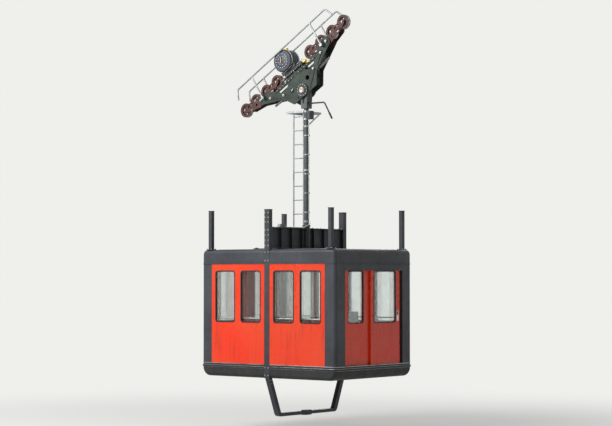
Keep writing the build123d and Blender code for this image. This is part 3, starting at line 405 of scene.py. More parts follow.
def mottled(name, colour, other, patch, roughness, grain_mm, bump_mm, edge_mm, **fixed):
    """A finish of two close shades in patches of a size and range, with a fine bump.

    The bump's grain is drawn coarser than the real one, so that it shows.
    """
    material, tree = new_finish(name)
    shade = layered(tree, colour, (patches(tree, *patch), other))
    return surface(material, tree, shade, roughness, patches(tree, grain_mm, 0.3, 0.7), bump_mm, edge_mm,
                   **fixed)


def cabin_enamel(colour):
    """Two-pack polyurethane enamel, sprayed: a glossy orange red, duller where the sun bleached it."""
    material, tree = new_finish("cabin_enamel")
    shade = layered(
        tree, colour, (patches(tree, 1200, 0.35, 0.70), "#EC4820"), (rain_streaks(tree, 0.42), "#6E2A1C"),
        (edge_wear(tree, 6, 0.5), "#9E7F74"))
    rough = patches(tree, 220, 0.3, 0.8, values=(0.20, 0.42))
    # Sheet metal between its stiffeners is never quite flat: swells half a metre wide show in the gloss
    swells = patches(tree, 520, 0.2, 0.8, detail=1)
    return surface(material, tree, shade, rough, swells, 2.2, Specular_IOR_Level=0.36, Coat_Weight=0.12,
                   Coat_Roughness=0.08)


def galvanised():
    """Hot-dip galvanised steel: a dull zinc grey broken into spangles about 12 mm across."""
    material, tree = new_finish("hot_dip_galvanised")
    spangle = add(tree, "ShaderNodeTexVoronoi", {
        "Vector": add(tree, "ShaderNodeTexCoord").outputs["Object"], "Scale": scale_for(12),
    })
    shade = layered(tree, "#7C8285", (spangle.outputs["Color"], "#A2A8AA"),
                    (patches(tree, 260, 0.50, 0.72), "#72746E"))
    rough = add(tree, "ShaderNodeMapRange", {
        "Value": spangle.outputs["Distance"], "To Min": 0.34, "To Max": 0.52,
    })
    return surface(material, tree, shade, rough.outputs["Result"], spangle.outputs["Distance"], 0.15, 2.0,
                   Metallic=0.85)


def turned_steel():
    """Machined steel under a film of grease: dull bright, with tool marks and dark smears.

    The marks are drawn 6 mm apart, coarser than real ones, so that they show.
    """
    material, tree = new_finish("turned_steel")
    shade = layered(tree, "#9A978F", (patches(tree, 60, 0.45, 0.65), "#57524A"))
    marks = add(tree, "ShaderNodeTexWave", {
        "Vector": add(tree, "ShaderNodeTexCoord").outputs["Object"], "Scale": scale_for(6),
        "Distortion": 1.5,
    }, bands_direction="Y")
    return surface(material, tree, shade, 0.30, marks.outputs["Fac"], 0.05, 2.0, Metallic=1.0)


def safety_glass():
    """Toughened safety glass, faintly green, with a dry film of dust that dulls it in patches."""
    material, tree = new_finish("toughened_glass")
    film = 240, 0.45, 0.85
    shader = add(tree, "ShaderNodeBsdfPrincipled", {
        "Base Color": layered(tree, "#DDEBE6", (patches(tree, *film), "#C9D2CC")),
        "Roughness": patches(tree, *film, values=(0.02, 0.16)),
        "Transmission Weight": 1.0, "Alpha": 0.42, "IOR": 1.5,
    })
    add(tree, "ShaderNodeOutputMaterial", {"Surface": shader.outputs["BSDF"]})
    return material


def anodised_strip():
    """Anodised aluminium extrusion: satin silver with scuffs along it, drawn coarser so that they show."""
    material, tree = new_finish("anodised_aluminium")
    shade = layered(tree, "#8E9294", (patches(tree, 40, 0.48, 0.70, stretch=(0.2, 0.2, 1)), "#5E6264"))
    scuffs = patches(tree, 3, 0.3, 0.7, stretch=(0.1, 0.1, 1))
    return surface(material, tree, shade, 0.38, scuffs, 0.05, 1.5, Metallic=0.9)


def brushed_stainless():
    """Brushed stainless steel tube: grain runs along it and spreads its shine.

    The grain is drawn 2.5 mm wide, coarser than the real one, so that it shows.
    """
    material, tree = new_finish("brushed_stainless")
    grain = patches(tree, 2.5, 0.2, 0.8, stretch=(1, 1, 0.04))
    shade = layered(tree, "#B4B4B2", (grain, "#D4D4D2"))
    return surface(material, tree, shade, 0.28, grain, 0.04, 1.5, Metallic=1.0)


def powder_coat(name, colour):
    """Powder coating: an even colour with a fine pebbled skin."""
    return mottled(name, colour, "#5A5C5C", (90, 0.45, 0.80), 0.55, 3, 0.15, 2.5)


def make_finishes(colours):
    """Every finish of the car, by the short name that its pieces ask for."""
    return {
        "enamel": cabin_enamel(colours.cabin),
        "slate": paint("slate_satin_paint", colours.frame, "#44484F", "#1D2124", 0.42),
        "skirt": paint("skirt_satin_paint", colours.skirt, "#282A2C", "#3E3A34", 0.50, streaks=0.6),
        # Every paint darkens its corners with painted shade and grime, the green and the red oxide most
        "green": paint("weathered_green_paint", colours.carriage, "#2B3B31", "#111410", 0.48, smears=0.45,
                       grime_and_shade=0.8, chip="#6D4A34"),
        "oxide": paint("greasy_red_oxide", colours.trucks, "#60312A", "#17110E", 0.46, streaks=0.6,
                       smears=0.65, grime_and_shade=0.9, chip="#A39A90"),
        "black": paint("oily_black_paint", "#1B1E1F", "#2C3031", "#0B0B0A", 0.34, streaks=0.4,
                       chip="#7D7C78"),
        "drum": paint("drum_enamel", colours.drum, "#545864", "#202226", 0.36),
        "hanger": paint("hanger_satin_paint", colours.hanger, "#686D70", "#26282A", 0.44),
        "galvanised": galvanised(),
        "turned": turned_steel(),
        # The wheels' grooves: steel that running keeps polished, with darker smears of grease
        "tread": mottled("rope_polished_steel", "#C6C4BE", "#7C776E", (30, 0.40, 0.62), 0.22, 9, 0.08, 1.0,
                         Metallic=1.0),
        # Moulded EPDM rubber: matt black, greying where it has weathered
        "rubber": mottled("epdm_rubber", "#141516", "#2E3032", (80, 0.40, 0.75), 0.72, 5, 0.1, 1.5),
        "glass": safety_glass(),
        "anodised": anodised_strip(),
        "stainless": brushed_stainless(),
        # Zinc-plated fasteners: dull silver, stained at the threads
        "zinc": mottled("zinc_plated_steel", "#A3A5A3", "#6F6A60", (18, 0.50, 0.70), 0.42, 4, 0.06, 1.0,
                        Metallic=0.9),
        "coating": powder_coat("console_powder_coat", "#73777A"),
        "switchgear": powder_coat("switchgear_powder_coat", "#2B2E31"),
        # Studded floor rubber: dark grey, with paler dust trodden into it
        "studs": mottled("studded_rubber", "#2A2C2E", "#444442", (300, 0.45, 0.75), 0.65, 6, 0.12, 1.0),
        # Clear polycarbonate over a pale reflector: smooth, with a hard shine
        "lens": mottled("polycarbonate_lens", "#EDEBE2", "#D8D3C2", (30, 0.40, 0.80), 0.16, 8, 0.3, 1.5,
                        Coat_Weight=0.6),
        # High-pressure laminate lining: a warm white, faintly yellowed
        "laminate": mottled("lining_laminate", "#D9D7CF", "#C6C1B2", (500, 0.40, 0.80), 0.5, 4, 0.05, 2.0),
        # Machined brass fittings: warm yellow, browner where the air has tarnished it
        "brass": mottled("machined_brass", "#D9B24A", "#8F6E2C", (25, 0.45, 0.70), 0.30, 4, 0.05, 1.5,
                         Metallic=1.0),
    }


FINISH_OF_SLOT = {
    "frame_green": "green", "red_oxide": "oxide", "bright_steel": "turned", "brake_black": "black",
    "drum_grey": "drum", "rail_steel": "galvanised", "hanger_grey": "hanger", "frame_slate": "slate",
    "skirt_black": "skirt", "cabin_red": "enamel", "window_glass": "glass", "pole_steel": "stainless",
    "console_grey": "coating",
}

finishes = {}


def settle(name, mesh, finish, body):
    """A finished piece: its mesh under its name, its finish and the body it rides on."""
    mesh.name = name
    mesh.materials.clear()
    mesh.materials.append(finishes[finish])
    piece = bpy.data.objects.new(name, mesh)
    bpy.context.scene.collection.objects.link(piece)
    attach(piece, body)


def settle_shape(name, shape, finish, body, crease=32):
    """A finished piece from a bmesh, its faces outwards, smooth but for edges sharper than this."""
    bmesh.ops.recalc_face_normals(shape, faces=shape.faces)
    for face in shape.faces:
        face.smooth = True
    for edge in shape.edges:
        edge.smooth = len(edge.link_faces) == 2 and edge.calc_face_angle(pi) < radians(crease)
    bmesh.ops.scale(shape, vec=(MM, MM, MM), verts=shape.verts)
    mesh = bpy.data.meshes.new(name)
    shape.to_mesh(mesh)
    shape.free()
    settle(name, mesh, finish, body)


def skin(shape, rings, closed=False):
    """Join rings of points into one skin, capped at its two ends unless it closes on itself."""
    loops = [[shape.verts.new(point) for point in ring] for ring in rings]
    for one, other in zip(loops, loops[1:] + ([loops[0]] if closed else [])):
        for i in range(len(one)):
            j = (i + 1) % len(one)
            shape.faces.new((one[i], one[j], other[j], other[i]))
    if not closed:
        shape.faces.new(loops[0])
        shape.faces.new(list(reversed(loops[-1])))


def turned(shape, centre, axis, profile, count=32, closed=False):
    """A turned shape: rings of a profile given as (distance along the axis, radius)."""
    axis = Vector(axis).normalized()
    across = axis.orthogonal().normalized()
    other = axis.cross(across)
    skin(shape, [[
        Vector(centre) + axis * along
        + radius * (across * cos(2 * pi * i / count) + other * sin(2 * pi * i / count))
        for i in range(count)
    ] for along, radius in profile], closed)


def block(shape, centre, size, chamfer, across=UP_END, up=UP):
    """A chamfered block: its size runs across, square to both, and up."""
    up = Vector(up).normalized()
    across = Vector(across).normalized()
    deep = up.cross(across)

    def ring(height, inset):
        u, v, c = size[0] / 2 - inset, size[1] / 2 - inset, chamfer
        corners = [(u, v - c), (u - c, v), (c - u, v), (-u, v - c),
                   (-u, c - v), (c - u, -v), (u - c, -v), (u, c - v)]
        return [Vector(centre) + across * a + deep * b + up * height for a, b in corners]

    half = size[2] / 2
    skin(shape, [ring(-half, chamfer), ring(chamfer - half, 0), ring(half - chamfer, 0), ring(half, chamfer)])


def sheet(shape, rectangle, height, thickness, chamfer):
    """A flat block over a rectangle of the plan, its middle at this height."""
    x0, x1, y0, y1 = rectangle
    block(shape, upright((x0 + x1) / 2, (y0 + y1) / 2, height), (x1 - x0, y1 - y0, thickness), chamfer)


def new_tree(name, **lengths):
    """A Geometry Nodes tree whose inputs are these lengths, in millimetres, and a finish."""
    tree = bpy.data.node_groups.new(name, "GeometryNodeTree")
    tree.interface.new_socket("Geometry", in_out="INPUT", socket_type="NodeSocketGeometry")
    for label, default in lengths.items():
        socket = tree.interface.new_socket(label, in_out="INPUT", socket_type="NodeSocketFloat")
        socket.default_value = default * MM
    tree.interface.new_socket("Finish", in_out="INPUT", socket_type="NodeSocketMaterial")
    tree.interface.new_socket("Geometry", in_out="OUTPUT", socket_type="NodeSocketGeometry")
    return tree, add(tree, "NodeGroupInput").outputs


def end_tree(tree, given, instances):
    """The end of every tree: realise the instances and give them their finish."""
    whole = add(tree, "GeometryNodeRealizeInstances", {"Geometry": instances})
    dressed = add(tree, "GeometryNodeSetMaterial", {
        "Geometry": whole.outputs["Geometry"], "Material": given["Finish"],
    })
    add(tree, "NodeGroupOutput", {"Geometry": dressed.outputs["Geometry"]})
    return tree


def placed(tree, points, head):
    """Instances of a head on points, each turned to its point's facing."""
    facing = add(tree, "GeometryNodeInputNamedAttribute", {"Name": "facing"}, data_type="FLOAT_VECTOR")
    turn = add(tree, "FunctionNodeAlignRotationToVector", {
        "Vector": facing.outputs["Attribute"],
    }, axis="Z")
    return add(tree, "GeometryNodeInstanceOnPoints", {
        "Points": points, "Instance": head, "Rotation": turn.outputs["Rotation"],
    }).outputs["Instances"]


def rivet_tree():
    """Rows of dome rivets: one at every pitch along the edges of a mesh."""
    tree, given = new_tree("rivet_rows", Pitch=95, Radius=6.5)
    line = add(tree, "GeometryNodeMeshToCurve", {"Mesh": given["Geometry"]})
    points = add(tree, "GeometryNodeCurveToPoints", {
        "Curve": line.outputs["Curve"], "Length": given["Pitch"],
    }, mode="LENGTH")
    dome = add(tree, "GeometryNodeMeshUVSphere", {"Segments": 8, "Rings": 5, "Radius": given["Radius"]})
    low = add(tree, "GeometryNodeTransform", {"Geometry": dome.outputs["Mesh"], "Scale": (1, 1, 0.6)})
    return end_tree(tree, given, placed(tree, points.outputs["Points"], low.outputs["Geometry"]))


def bolt_tree():
    """Hexagon bolts, each with its washer and the end of its thread, one on every point."""
    tree, given = new_tree("hexagon_bolts", Radius=13)
    whole = add(tree, "GeometryNodeJoinGeometry")
    # The washer, the head and the thread: their sides, and radius and height over the head's radius
    for sides, wide, tall in ((16, 1.25, 0.18), (6, 1.0, 0.85), (10, 0.5, 1.15)):
        radius, depth, middle = [
            add(tree, "ShaderNodeMath", {0: given["Radius"], 1: share}, operation="MULTIPLY").outputs[0]
            for share in (wide, tall, tall / 2)
        ]
        part = add(tree, "GeometryNodeMeshCylinder", {"Vertices": sides, "Radius": radius, "Depth": depth})
        lift = add(tree, "ShaderNodeCombineXYZ", {"Z": middle})
        raised = add(tree, "GeometryNodeTransform", {
            "Geometry": part.outputs["Mesh"], "Translation": lift.outputs["Vector"],
        })
        tree.links.new(raised.outputs["Geometry"], whole.inputs["Geometry"])
    return end_tree(tree, given, placed(tree, given["Geometry"], whole.outputs["Geometry"]))


# How far a flat section's corners are rounded, as a share of its smaller side
CORNER_SHARE = 0.22


def run_tree(name, is_oval):
    """A section run along the edges of a mesh, its corners bent to a radius: a bead, pipe or strip.

    Its width lies across a line's first edge, level, and its height square to that.
    """
    tree, given = new_tree(name, Width=10, Height=10, Bend=50)
    line = add(tree, "GeometryNodeMeshToCurve", {"Mesh": given["Geometry"]})
    bent = add(tree, "GeometryNodeFilletCurve", {
        "Curve": line.outputs["Curve"], "Count": 7, "Radius": given["Bend"], "Limit Radius": True,
    }, mode="POLY")
    steady = add(tree, "GeometryNodeSetCurveNormal", {"Curve": bent.outputs["Curve"]}, mode="MINIMUM_TWIST")
    if is_oval:
        circle = add(tree, "GeometryNodeCurvePrimitiveCircle", {"Resolution": 12, "Radius": 0.5})
        size = add(tree, "ShaderNodeCombineXYZ", {"X": given["Width"], "Y": given["Height"], "Z": 1.0})
        section = add(tree, "GeometryNodeTransform", {
            "Geometry": circle.outputs["Curve"], "Scale": size.outputs["Vector"],
        }).outputs["Geometry"]
    else:
        plain = add(tree, "GeometryNodeCurvePrimitiveQuadrilateral", {
            "Width": given["Width"], "Height": given["Height"],
        })
        smaller = add(tree, "ShaderNodeMath", {0: given["Width"], 1: given["Height"]}, operation="MINIMUM")
        corner = add(tree, "ShaderNodeMath", {0: smaller.outputs[0], 1: CORNER_SHARE}, operation="MULTIPLY")
        section = add(tree, "GeometryNodeFilletCurve", {
            "Curve": plain.outputs["Curve"], "Count": 2, "Radius": corner.outputs[0],
        }, mode="POLY").outputs["Curve"]
    swept = add(tree, "GeometryNodeCurveToMesh", {
        "Curve": steady.outputs["Curve"], "Profile Curve": section, "Fill Caps": True,
    })
    return end_tree(tree, given, swept.outputs["Mesh"])


def spring_tree():
    """Coil springs: one round wire wound up from every point of a mesh."""
    tree, given = new_tree("coil_springs", Radius=26, Wire=4, Length=120)
    coil = add(tree, "GeometryNodeCurveSpiral", {
        "Resolution": 14, "Rotations": SPRING_TURNS, "Start Radius": given["Radius"],
        "End Radius": given["Radius"], "Height": given["Length"],
    })
    wire = add(tree, "GeometryNodeCurvePrimitiveCircle", {"Resolution": 8, "Radius": given["Wire"]})
    spring = add(tree, "GeometryNodeCurveToMesh", {
        "Curve": coil.outputs["Curve"], "Profile Curve": wire.outputs["Curve"], "Fill Caps": True,
    })
    return end_tree(tree, given, placed(tree, given["Geometry"], spring.outputs["Mesh"]))


def stud_tree():
    """Low round studs, one on every point of a mesh."""
    tree, given = new_tree("floor_studs", Radius=12, Height=3)
    stud = add(tree, "GeometryNodeMeshCylinder", {
        "Vertices": 10, "Radius": given["Radius"], "Depth": given["Height"],
    })
    return end_tree(tree, given, placed(tree, given["Geometry"], stud.outputs["Mesh"]))


TREE_MAKERS = {
    "rivets": rivet_tree, "bolts": bolt_tree, "springs": spring_tree, "studs": stud_tree,
    "oval_run": lambda: run_tree("oval_runs", True), "flat_run": lambda: run_tree("flat_runs", False),
}
trees = {}


def seed_mesh(strands, closed):
    """A mesh of strands, each a list of points or one point, with the facing of what grows there."""
    points, edges, facings = [], [], []
    for strand, facing in strands:
        strand = [strand] if isinstance(strand, Vector) else strand
        start, count = len(points), len(strand)
        points += [tuple(point * MM) for point in strand]
        edges += [(start + i, start + (i + 1) % count) for i in range(count if closed else count - 1)]
        facings += [tuple(facing)] * count
    mesh = bpy.data.meshes.new("seed")
    mesh.from_pydata(points, edges, [])
    attribute = mesh.attributes.new("facing", "FLOAT_VECTOR", "POINT")
    for item, value in zip(attribute.data, facings):
        item.vector = value
    return mesh


def grown(name, tree, strands, body, slot, finish, closed=False, **sizes):
    """Run a tree on strands, each of points and a facing, and keep the result as one finished piece."""
    if tree not in trees:
        trees[tree] = TREE_MAKERS[tree]()
    seed = seed_mesh(strands, closed)
    carrier = bpy.data.objects.new(name + "_seed", seed)
    bpy.context.scene.collection.objects.link(carrier)
    modifier = carrier.modifiers.new(name, "NODES")
    modifier.node_group = trees[tree]
    values = {"Finish": finishes[finish], **{label.capitalize(): size * MM for label, size in sizes.items()}}
    for item in trees[tree].interface.items_tree:
        if item.item_type == "SOCKET" and item.in_out == "INPUT" and item.name in values:
            modifier[item.identifier] = values[item.name]
    ready = carrier.evaluated_get(bpy.context.evaluated_depsgraph_get())
    mesh = bpy.data.meshes.new_from_object(ready)
    bpy.data.objects.remove(carrier)
    bpy.data.meshes.remove(seed)
    if not mesh.polygons:
        raise RuntimeError(f"{name} came out empty")
    settle(name, mesh, finish, body)


def bolted(name, places, body, slot, radius, finish="zinc"):
    """Bolts on places, each a point and the way that its head faces."""
    grown(name, "bolts", places, body, slot, finish, radius=radius)


def run(name, lines, body, slot, finish, section="flat_run", closed=False, **sizes):
    """A bead, pipe or strip along each of these lines of points."""
    grown(name, section, [(line, UP) for line in lines], body, slot, finish, closed, **sizes)


class TRAMCAR_OT_finishes(bpy.types.Operator):
    """Give every part of the frame the finish of its material slot"""

    bl_idname = "tramcar.finishes"
    bl_label = "Finishes"

    def execute(self, context):
        finishes.update(make_finishes(context.scene.car_colours))
        for part in frame["record"]["subparts"]:
            node = frame["nodes"][part["node"]]
            node.data.materials.clear()
            node.data.materials.append(finishes[FINISH_OF_SLOT[part["material_slot"]]])
        return {"FINISHED"}


def panes(node):
    """The low and high corners of each pane of a glass node, from the loose parts of its mesh."""
    shape = bmesh.new()
    shape.from_mesh(frame["nodes"][node].data)
    bmesh.ops.remove_doubles(shape, verts=shape.verts, dist=0.01 * MM)
    left = set(shape.verts)
    found = []
    while left:
        part, front = [], [left.pop()]
        while front:
            vert = front.pop()
            part.append(vert.co / MM)
            near = {edge.other_vert(vert) for edge in vert.link_edges} & left
            left -= near
            front += near
        found.append([Vector([pick(co[i] for co in part) for i in range(3)]) for pick in (min, max)])
    shape.free()
    return sorted(found, key=lambda corners: tuple(corners[0]))


def pane_loop(low, high, facing, inset, out):
    """The corners of a rectangle this far inside a pane's edge and out from its outer face."""
    facing = Vector(facing)
    across = facing.cross(UP)
    middle = (low + high) / 2
    centre = middle + facing * (max(low.dot(facing), high.dot(facing)) + out - middle.dot(facing))
    wide = abs((high - low).dot(across)) / 2 - inset
    tall = (high.z - low.z) / 2 - inset
    corners = (-1, -1), (1, -1), (1, 1), (-1, 1)
    return [centre + across * u * wide + Vector((0, 0, v * tall)) for u, v in corners]


class TRAMCAR_OT_window_seals(bpy.types.Operator):
    """Rubber beads and gaskets round every pane outside, and clamping frames inside"""

    bl_idname = "tramcar.window_seals"
    bl_label = "Window seals"

    def execute(self, context):
        bead = context.scene.car_sizes.seal_radius / MM
        for name, body, glazed, wall, proud, clamp_inset, clamp_width in GLAZING:
            found = [(*corners, facing) for node, facing in glazed for corners in panes(node)]
            for piece, section, finish, inset, out, width, height in (
                ("beads", "oval_run", "rubber", PANE_LAP, PANE_SEAT + proud - bead / 2, bead, 3 * bead),
                ("gaskets", "flat_run", "rubber", PANE_LAP + 6, 5, 10, 12),
                ("clamps", "flat_run", "anodised", clamp_inset, PANE_SEAT - wall, 4, clamp_width),
            ):
                loops = [pane_loop(*pane, inset, out) for pane in found]
                run(f"window_{piece}_{name}", loops, body, "window_glass", finish, section, closed=True,
                    width=width, height=height, bend=PANE_BEND)
        return {"FINISHED"}


class TRAMCAR_OT_panel_rivets(bpy.types.Operator):
    """Rows of rivets along the edges of the wall panels, pillars, roof band, skirt and door leaves"""

    bl_idname = "tramcar.panel_rivets"
    bl_label = "Panel rivets"

    def execute(self, context):
        sizes = context.scene.car_sizes
        dome = {"pitch": sizes.rivet_pitch / MM, "radius": sizes.rivet_radius / MM}
        on_walls, on_frame, on_skirt = [], [], []
        top, foot = ROOF_FOOT - 30, DECK + 30
        bands = [(ROOF_FOOT + 26, on_frame), (ROOF_TOP - 125, on_frame), (DECK - 24, on_skirt)]
        for side in (-1, 1):
            facing, y = (0, side, 0), side * HALF_WIDTH
            for end in (-1, 1):
                ends = [end * (LEG_HALF + 22), end * (WALL_END - 22)]
                on_walls += [([upright(x, y, z) for z in (foot, top)], facing) for x in ends]
                on_walls += [([upright(x, y, z) for x in ends], facing) for z in (foot, top, SILL)]
                for x in (WALL_END + 22, HALF_LENGTH - CABIN_BEND - 14):
                    on_frame.append(([upright(end * x, y, z) for z in (DECK, ROOF_FOOT)], facing))
                for z, rows in bands:
                    ends = LEG_HALF + 40, HALF_LENGTH - 100
                    rows.append(([upright(end * x, y, z) for x in ends], facing))
        for end in (-1, 1):
            facing, x = (end, 0, 0), end * HALF_LENGTH
            for side in (-1, 1):
                for edge in (PILLAR_EDGE + 20, HALF_WIDTH - CABIN_BEND - 14):
                    on_frame.append(([upright(x, side * edge, z) for z in (DECK, ROOF_FOOT)], facing))
            for z, rows in bands:
                rows.append(([upright(x, side * (HALF_WIDTH - 100), z) for side in (-1, 1)], facing))
        grown("wall_rivets", "rivets", on_walls, "cabin", "cabin_red", "enamel", **dome)
        grown("frame_rivets", "rivets", on_frame, "cabin", "frame_slate", "slate", **dome)
        grown("skirt_rivets", "rivets", on_skirt, "cabin", "skirt_black", "skirt", **dome)
        for place, end in ENDS:
            body = f"door_{place}"
            low, high = span(body)
            x = (high.x if end > 0 else low.x) - PIN_X
            ends = [low.y + 24, high.y - 24]
            foot, top = low.z + 24, low.z + LEAF_HEIGHT - 90
            rows = [([upright(x, y, z) for z in (foot, top)], (end, 0, 0)) for y in ends]
            rows += [([upright(x, y, z) for y in ends], (end, 0, 0)) for z in (foot, SILL)]
            grown(f"door_rivets_{place}", "rivets", rows, body, "cabin_red", "enamel", **dome)
        return {"FINISHED"}


def half_rounds(height, out, gap):
    """A line at this height round each end of the cabin, stopping at the legs."""
    x, y, start = HALF_LENGTH + out, HALF_WIDTH + out, LEG_HALF + gap
    corners = (start, -y), (x, -y), (x, y), (start, y)
    return [[upright(end * along, across, height) for along, across in corners] for end in (-1, 1)]


class TRAMCAR_OT_body_trims(bpy.types.Operator):
    """Drip rail under the roof band, seam strip above the skirt and rubbing strip round it"""

    bl_idname = "tramcar.body_trims"
    bl_label = "Body trims"

    def execute(self, context):
        strip = context.scene.car_sizes.strip_height / MM
        for name, line, slot, finish, section, width, height in (
            ("drip_rail", (ROOF_FOOT - 2, 5, 2), "frame_slate", "slate", "flat_run", 16, 14),
            ("seam_strip", (DECK, 1, 2), "skirt_black", "anodised", "flat_run", 8, 16),
            ("rubbing_strip_seat", (DECK - STRIP_DROP, 0, 4), "skirt_black", "anodised", "flat_run",
             10, strip + 12),
            ("rubbing_strip", (DECK - STRIP_DROP, 6, 10), "skirt_black", "rubber", "oval_run", 22, strip),
        ):
            run(name, half_rounds(*line), "cabin", slot, finish, section, width=width, height=height,
                bend=CABIN_BEND)
        sills = bmesh.new()
        for end in (-1, 1):
            middle, y = end * (HALF_LENGTH - 33), end * 405
            block(sills, upright(middle, y, DECK + 1.5), (54, 880, 3), 1)
            for i in range(4):
                block(sills, upright(middle + end * (i - 1.5) * 13, y, DECK + 4), (5, 866, 2.4), 0.8)
        settle_shape("door_sills", sills, "anodised", "cabin")
        return {"FINISHED"}


class TRAMCAR_OT_door_fittings(bpy.types.Operator):
    """Closing-edge rubber, locks and pull handles on the door leaves"""

    bl_idname = "tramcar.door_fittings"
    bl_label = "Door fittings"

    def execute(self, context):
        for place, end in ENDS:
            body = f"door_{place}"
            low, high = span(body)
            x = (high.x if end > 0 else low.x) - PIN_X
            closing = high.y if end > 0 else low.y
            metal, rubber, dark = bmesh.new(), bmesh.new(), bmesh.new()
            plate_y = closing - end * LOCK_INSET
            block(metal, upright(x + end * 1.5, plate_y, LOCK_HEIGHT), (4, 62, 210), 1)
            turned(metal, upright(x + end * 2, plate_y, LOCK_HEIGHT - 62), (end, 0, 0),
                   [(0, 13), (5, 13), (6, 12), (6, 4)], 24)
            settle_shape(f"door_plates_{place}", metal, "stainless", body)
            inner = x - end * LEAF_MIDDLE
            block(rubber, upright(inner, closing + end * 5, low.z + LEAF_HEIGHT / 2),
                  (26, 14, LEAF_HEIGHT - 60), 4)
            block(rubber, upright(inner, (low.y + high.y) / 2, low.z + 1), (22, 940, 6), 1.5)
            settle_shape(f"door_edge_rubber_{place}", rubber, "rubber", body)
            block(dark, upright(x + end * 2.5, plate_y, LOCK_HEIGHT + 52), (5, 44, 78), 2)
            settle_shape(f"door_pull_wells_{place}", dark, "switchgear", body)
            grip = [upright(x + end * out, plate_y, LOCK_HEIGHT + z)
                    for out, z in ((2, 10), (22, 14), (22, 90), (2, 94))]
            run(f"door_pulls_{place}", [grip], body, "cabin_red", "stainless", "oval_run",
                width=11, height=11, bend=10)
            screws = [(upright(x + end * 3.5, plate_y + u * 22, LOCK_HEIGHT + v * 95), (end, 0, 0))
                      for u, v in CORNERS]
            bolted(f"door_screws_{place}", screws, body, "cabin_red", 3.2)
        return {"FINISHED"}


class TRAMCAR_OT_roof_fittings(bpy.types.Operator):
    """Pressed stiffening beads and anti-slip mats on the roof, and the hatch's mat and handle"""

    bl_idname = "tramcar.roof_fittings"
    bl_label = "Roof fittings"

    def execute(self, context):
        ribs = [[upright(end * x, y, ROOF_TOP) for x in (230, HALF_LENGTH - 290)]
                for y in BEAD_PLACES for end in (-1, 1)]
        run("roof_beads", ribs, "cabin", "frame_slate", "slate", "oval_run", width=46, height=16, bend=1)
        mats, lid = bmesh.new(), bmesh.new()
        for x, y, length, width in ROOF_MATS:
            block(mats, upright(x, y, ROOF_TOP + 2), (length, width, 4), 1.5)
        settle_shape("roof_walkway_mats", mats, "studs", "cabin")
        low, high = span("roof_hatch")
        grip = [Vector((high.x - 90, y, high.z + z)) for y, z in (
            (-110, -22), (-110, 22), (110, 22), (110, -22))]
        run("roof_hatch_handle", [grip], "roof_hatch", "pole_steel", "stainless", "oval_run",
            width=14, height=14, bend=20)
        block(lid, (high.x - 355, 0, ROOF_TOP + LID_HEIGHT + 1.5), (400, 500, 3), 1)
        settle_shape("roof_hatch_mat", lid, "studs", "roof_hatch")
        return {"FINISHED"}


class TRAMCAR_OT_frame_bolts(bpy.types.Operator):
    """Bolts of the roof posts, legs, cross beam, guide hoop and service platform"""

    bl_idname = "tramcar.frame_bolts"
    bl_label = "Cabin frame bolts"

    def execute(self, context):
        radius = context.scene.car_sizes.bolt_radius / MM
        places = [(upright(x * POST_X + u * 60, y * POST_Y + v * 60, ROOF_TOP + 12), UP)
                  for x, y in CORNERS for u, v in CORNERS]
        heights = [POST_TOP - 60 - 95 * i for i in range(3)]
        heights += [BEAM_TOP - 60 - 105 * i for i in range(4)]
        heights += [ROOF_FOOT + 60, ROOF_FOOT + 230, DECK - 60, DECK - 215]
        places += [(upright(u * 42, side * (HALF_WIDTH + 5), z), (0, side, 0))
                   for side in (-1, 1) for z in heights for u in (-1, 1)]
        bolted("leg_and_post_bolts", places, "cabin", "frame_slate", radius)
        flange = [(upright(u * 45, side * y, BEAM_TOP), UP)
                  for y in (140, 420, 1010, 1120) for side, u in CORNERS]
        bolted("beam_bolts", flange, "cabin", "frame_slate", radius)
        caps = bmesh.new()
        for x, y in CORNERS:
            block(caps, upright(x * POST_X, y * POST_Y, POST_TOP + 5), (96, 96, 14), 4)
        for side in (-1, 1):
            block(caps, upright(0, side * LEG_Y, POST_TOP + 5), (146, 106, 14), 4)
        settle_shape("post_caps", caps, "rubber", "cabin")
        sides = [(upright(u * 50, side * y, SKIRT_FOOT - z), (u, 0, 0))
                 for u, side in CORNERS for y, z in HOOP_BOLTS]
        bolted("hoop_bolts", sides, "cabin", "frame_slate", 0.8 * radius)
        low, high = span("service_platform")
        rim = [(Vector((low.x, y, high.z - 20)), DOWN_END) for y in (0, 260, 520)]
        rim += [(Vector((low.x + x, high.y, high.z - 20)), FAR) for x in (60, 230, 400)]
        bolted("platform_bolts", rim, "cabin", "rail_steel", 0.7 * radius)
        return {"FINISHED"}


class TRAMCAR_OT_wheel_grooves(bpy.types.Operator):
    """The band in each wheel's groove that running keeps polished"""

    bl_idname = "tramcar.wheel_grooves"
    bl_label = "Wheel grooves"

    def execute(self, context):
        arc = [(TRACK_RADIUS * cos(pi * i / 14), GROOVE_MIDDLE - TRACK_RADIUS * sin(pi * i / 14))
               for i in range(15)]
        lip = [(along, radius) for along, radius in arc if radius < FLANGE_RADIUS - 1.5]
        # The band's other face lies in the wheel's metal
        under = [(along * 1.12, radius - 2.6) for along, radius in reversed(lip)]
        for n, centre in enumerate(WHEEL_CENTRES, 1):
            band = bmesh.new()
            turned(band, centre, FAR, lip + under, 72, closed=True)
            settle_shape(f"wheel_groove_{n}", band, "tread", f"wheel_{n}", crease=50)
        return {"FINISHED"}


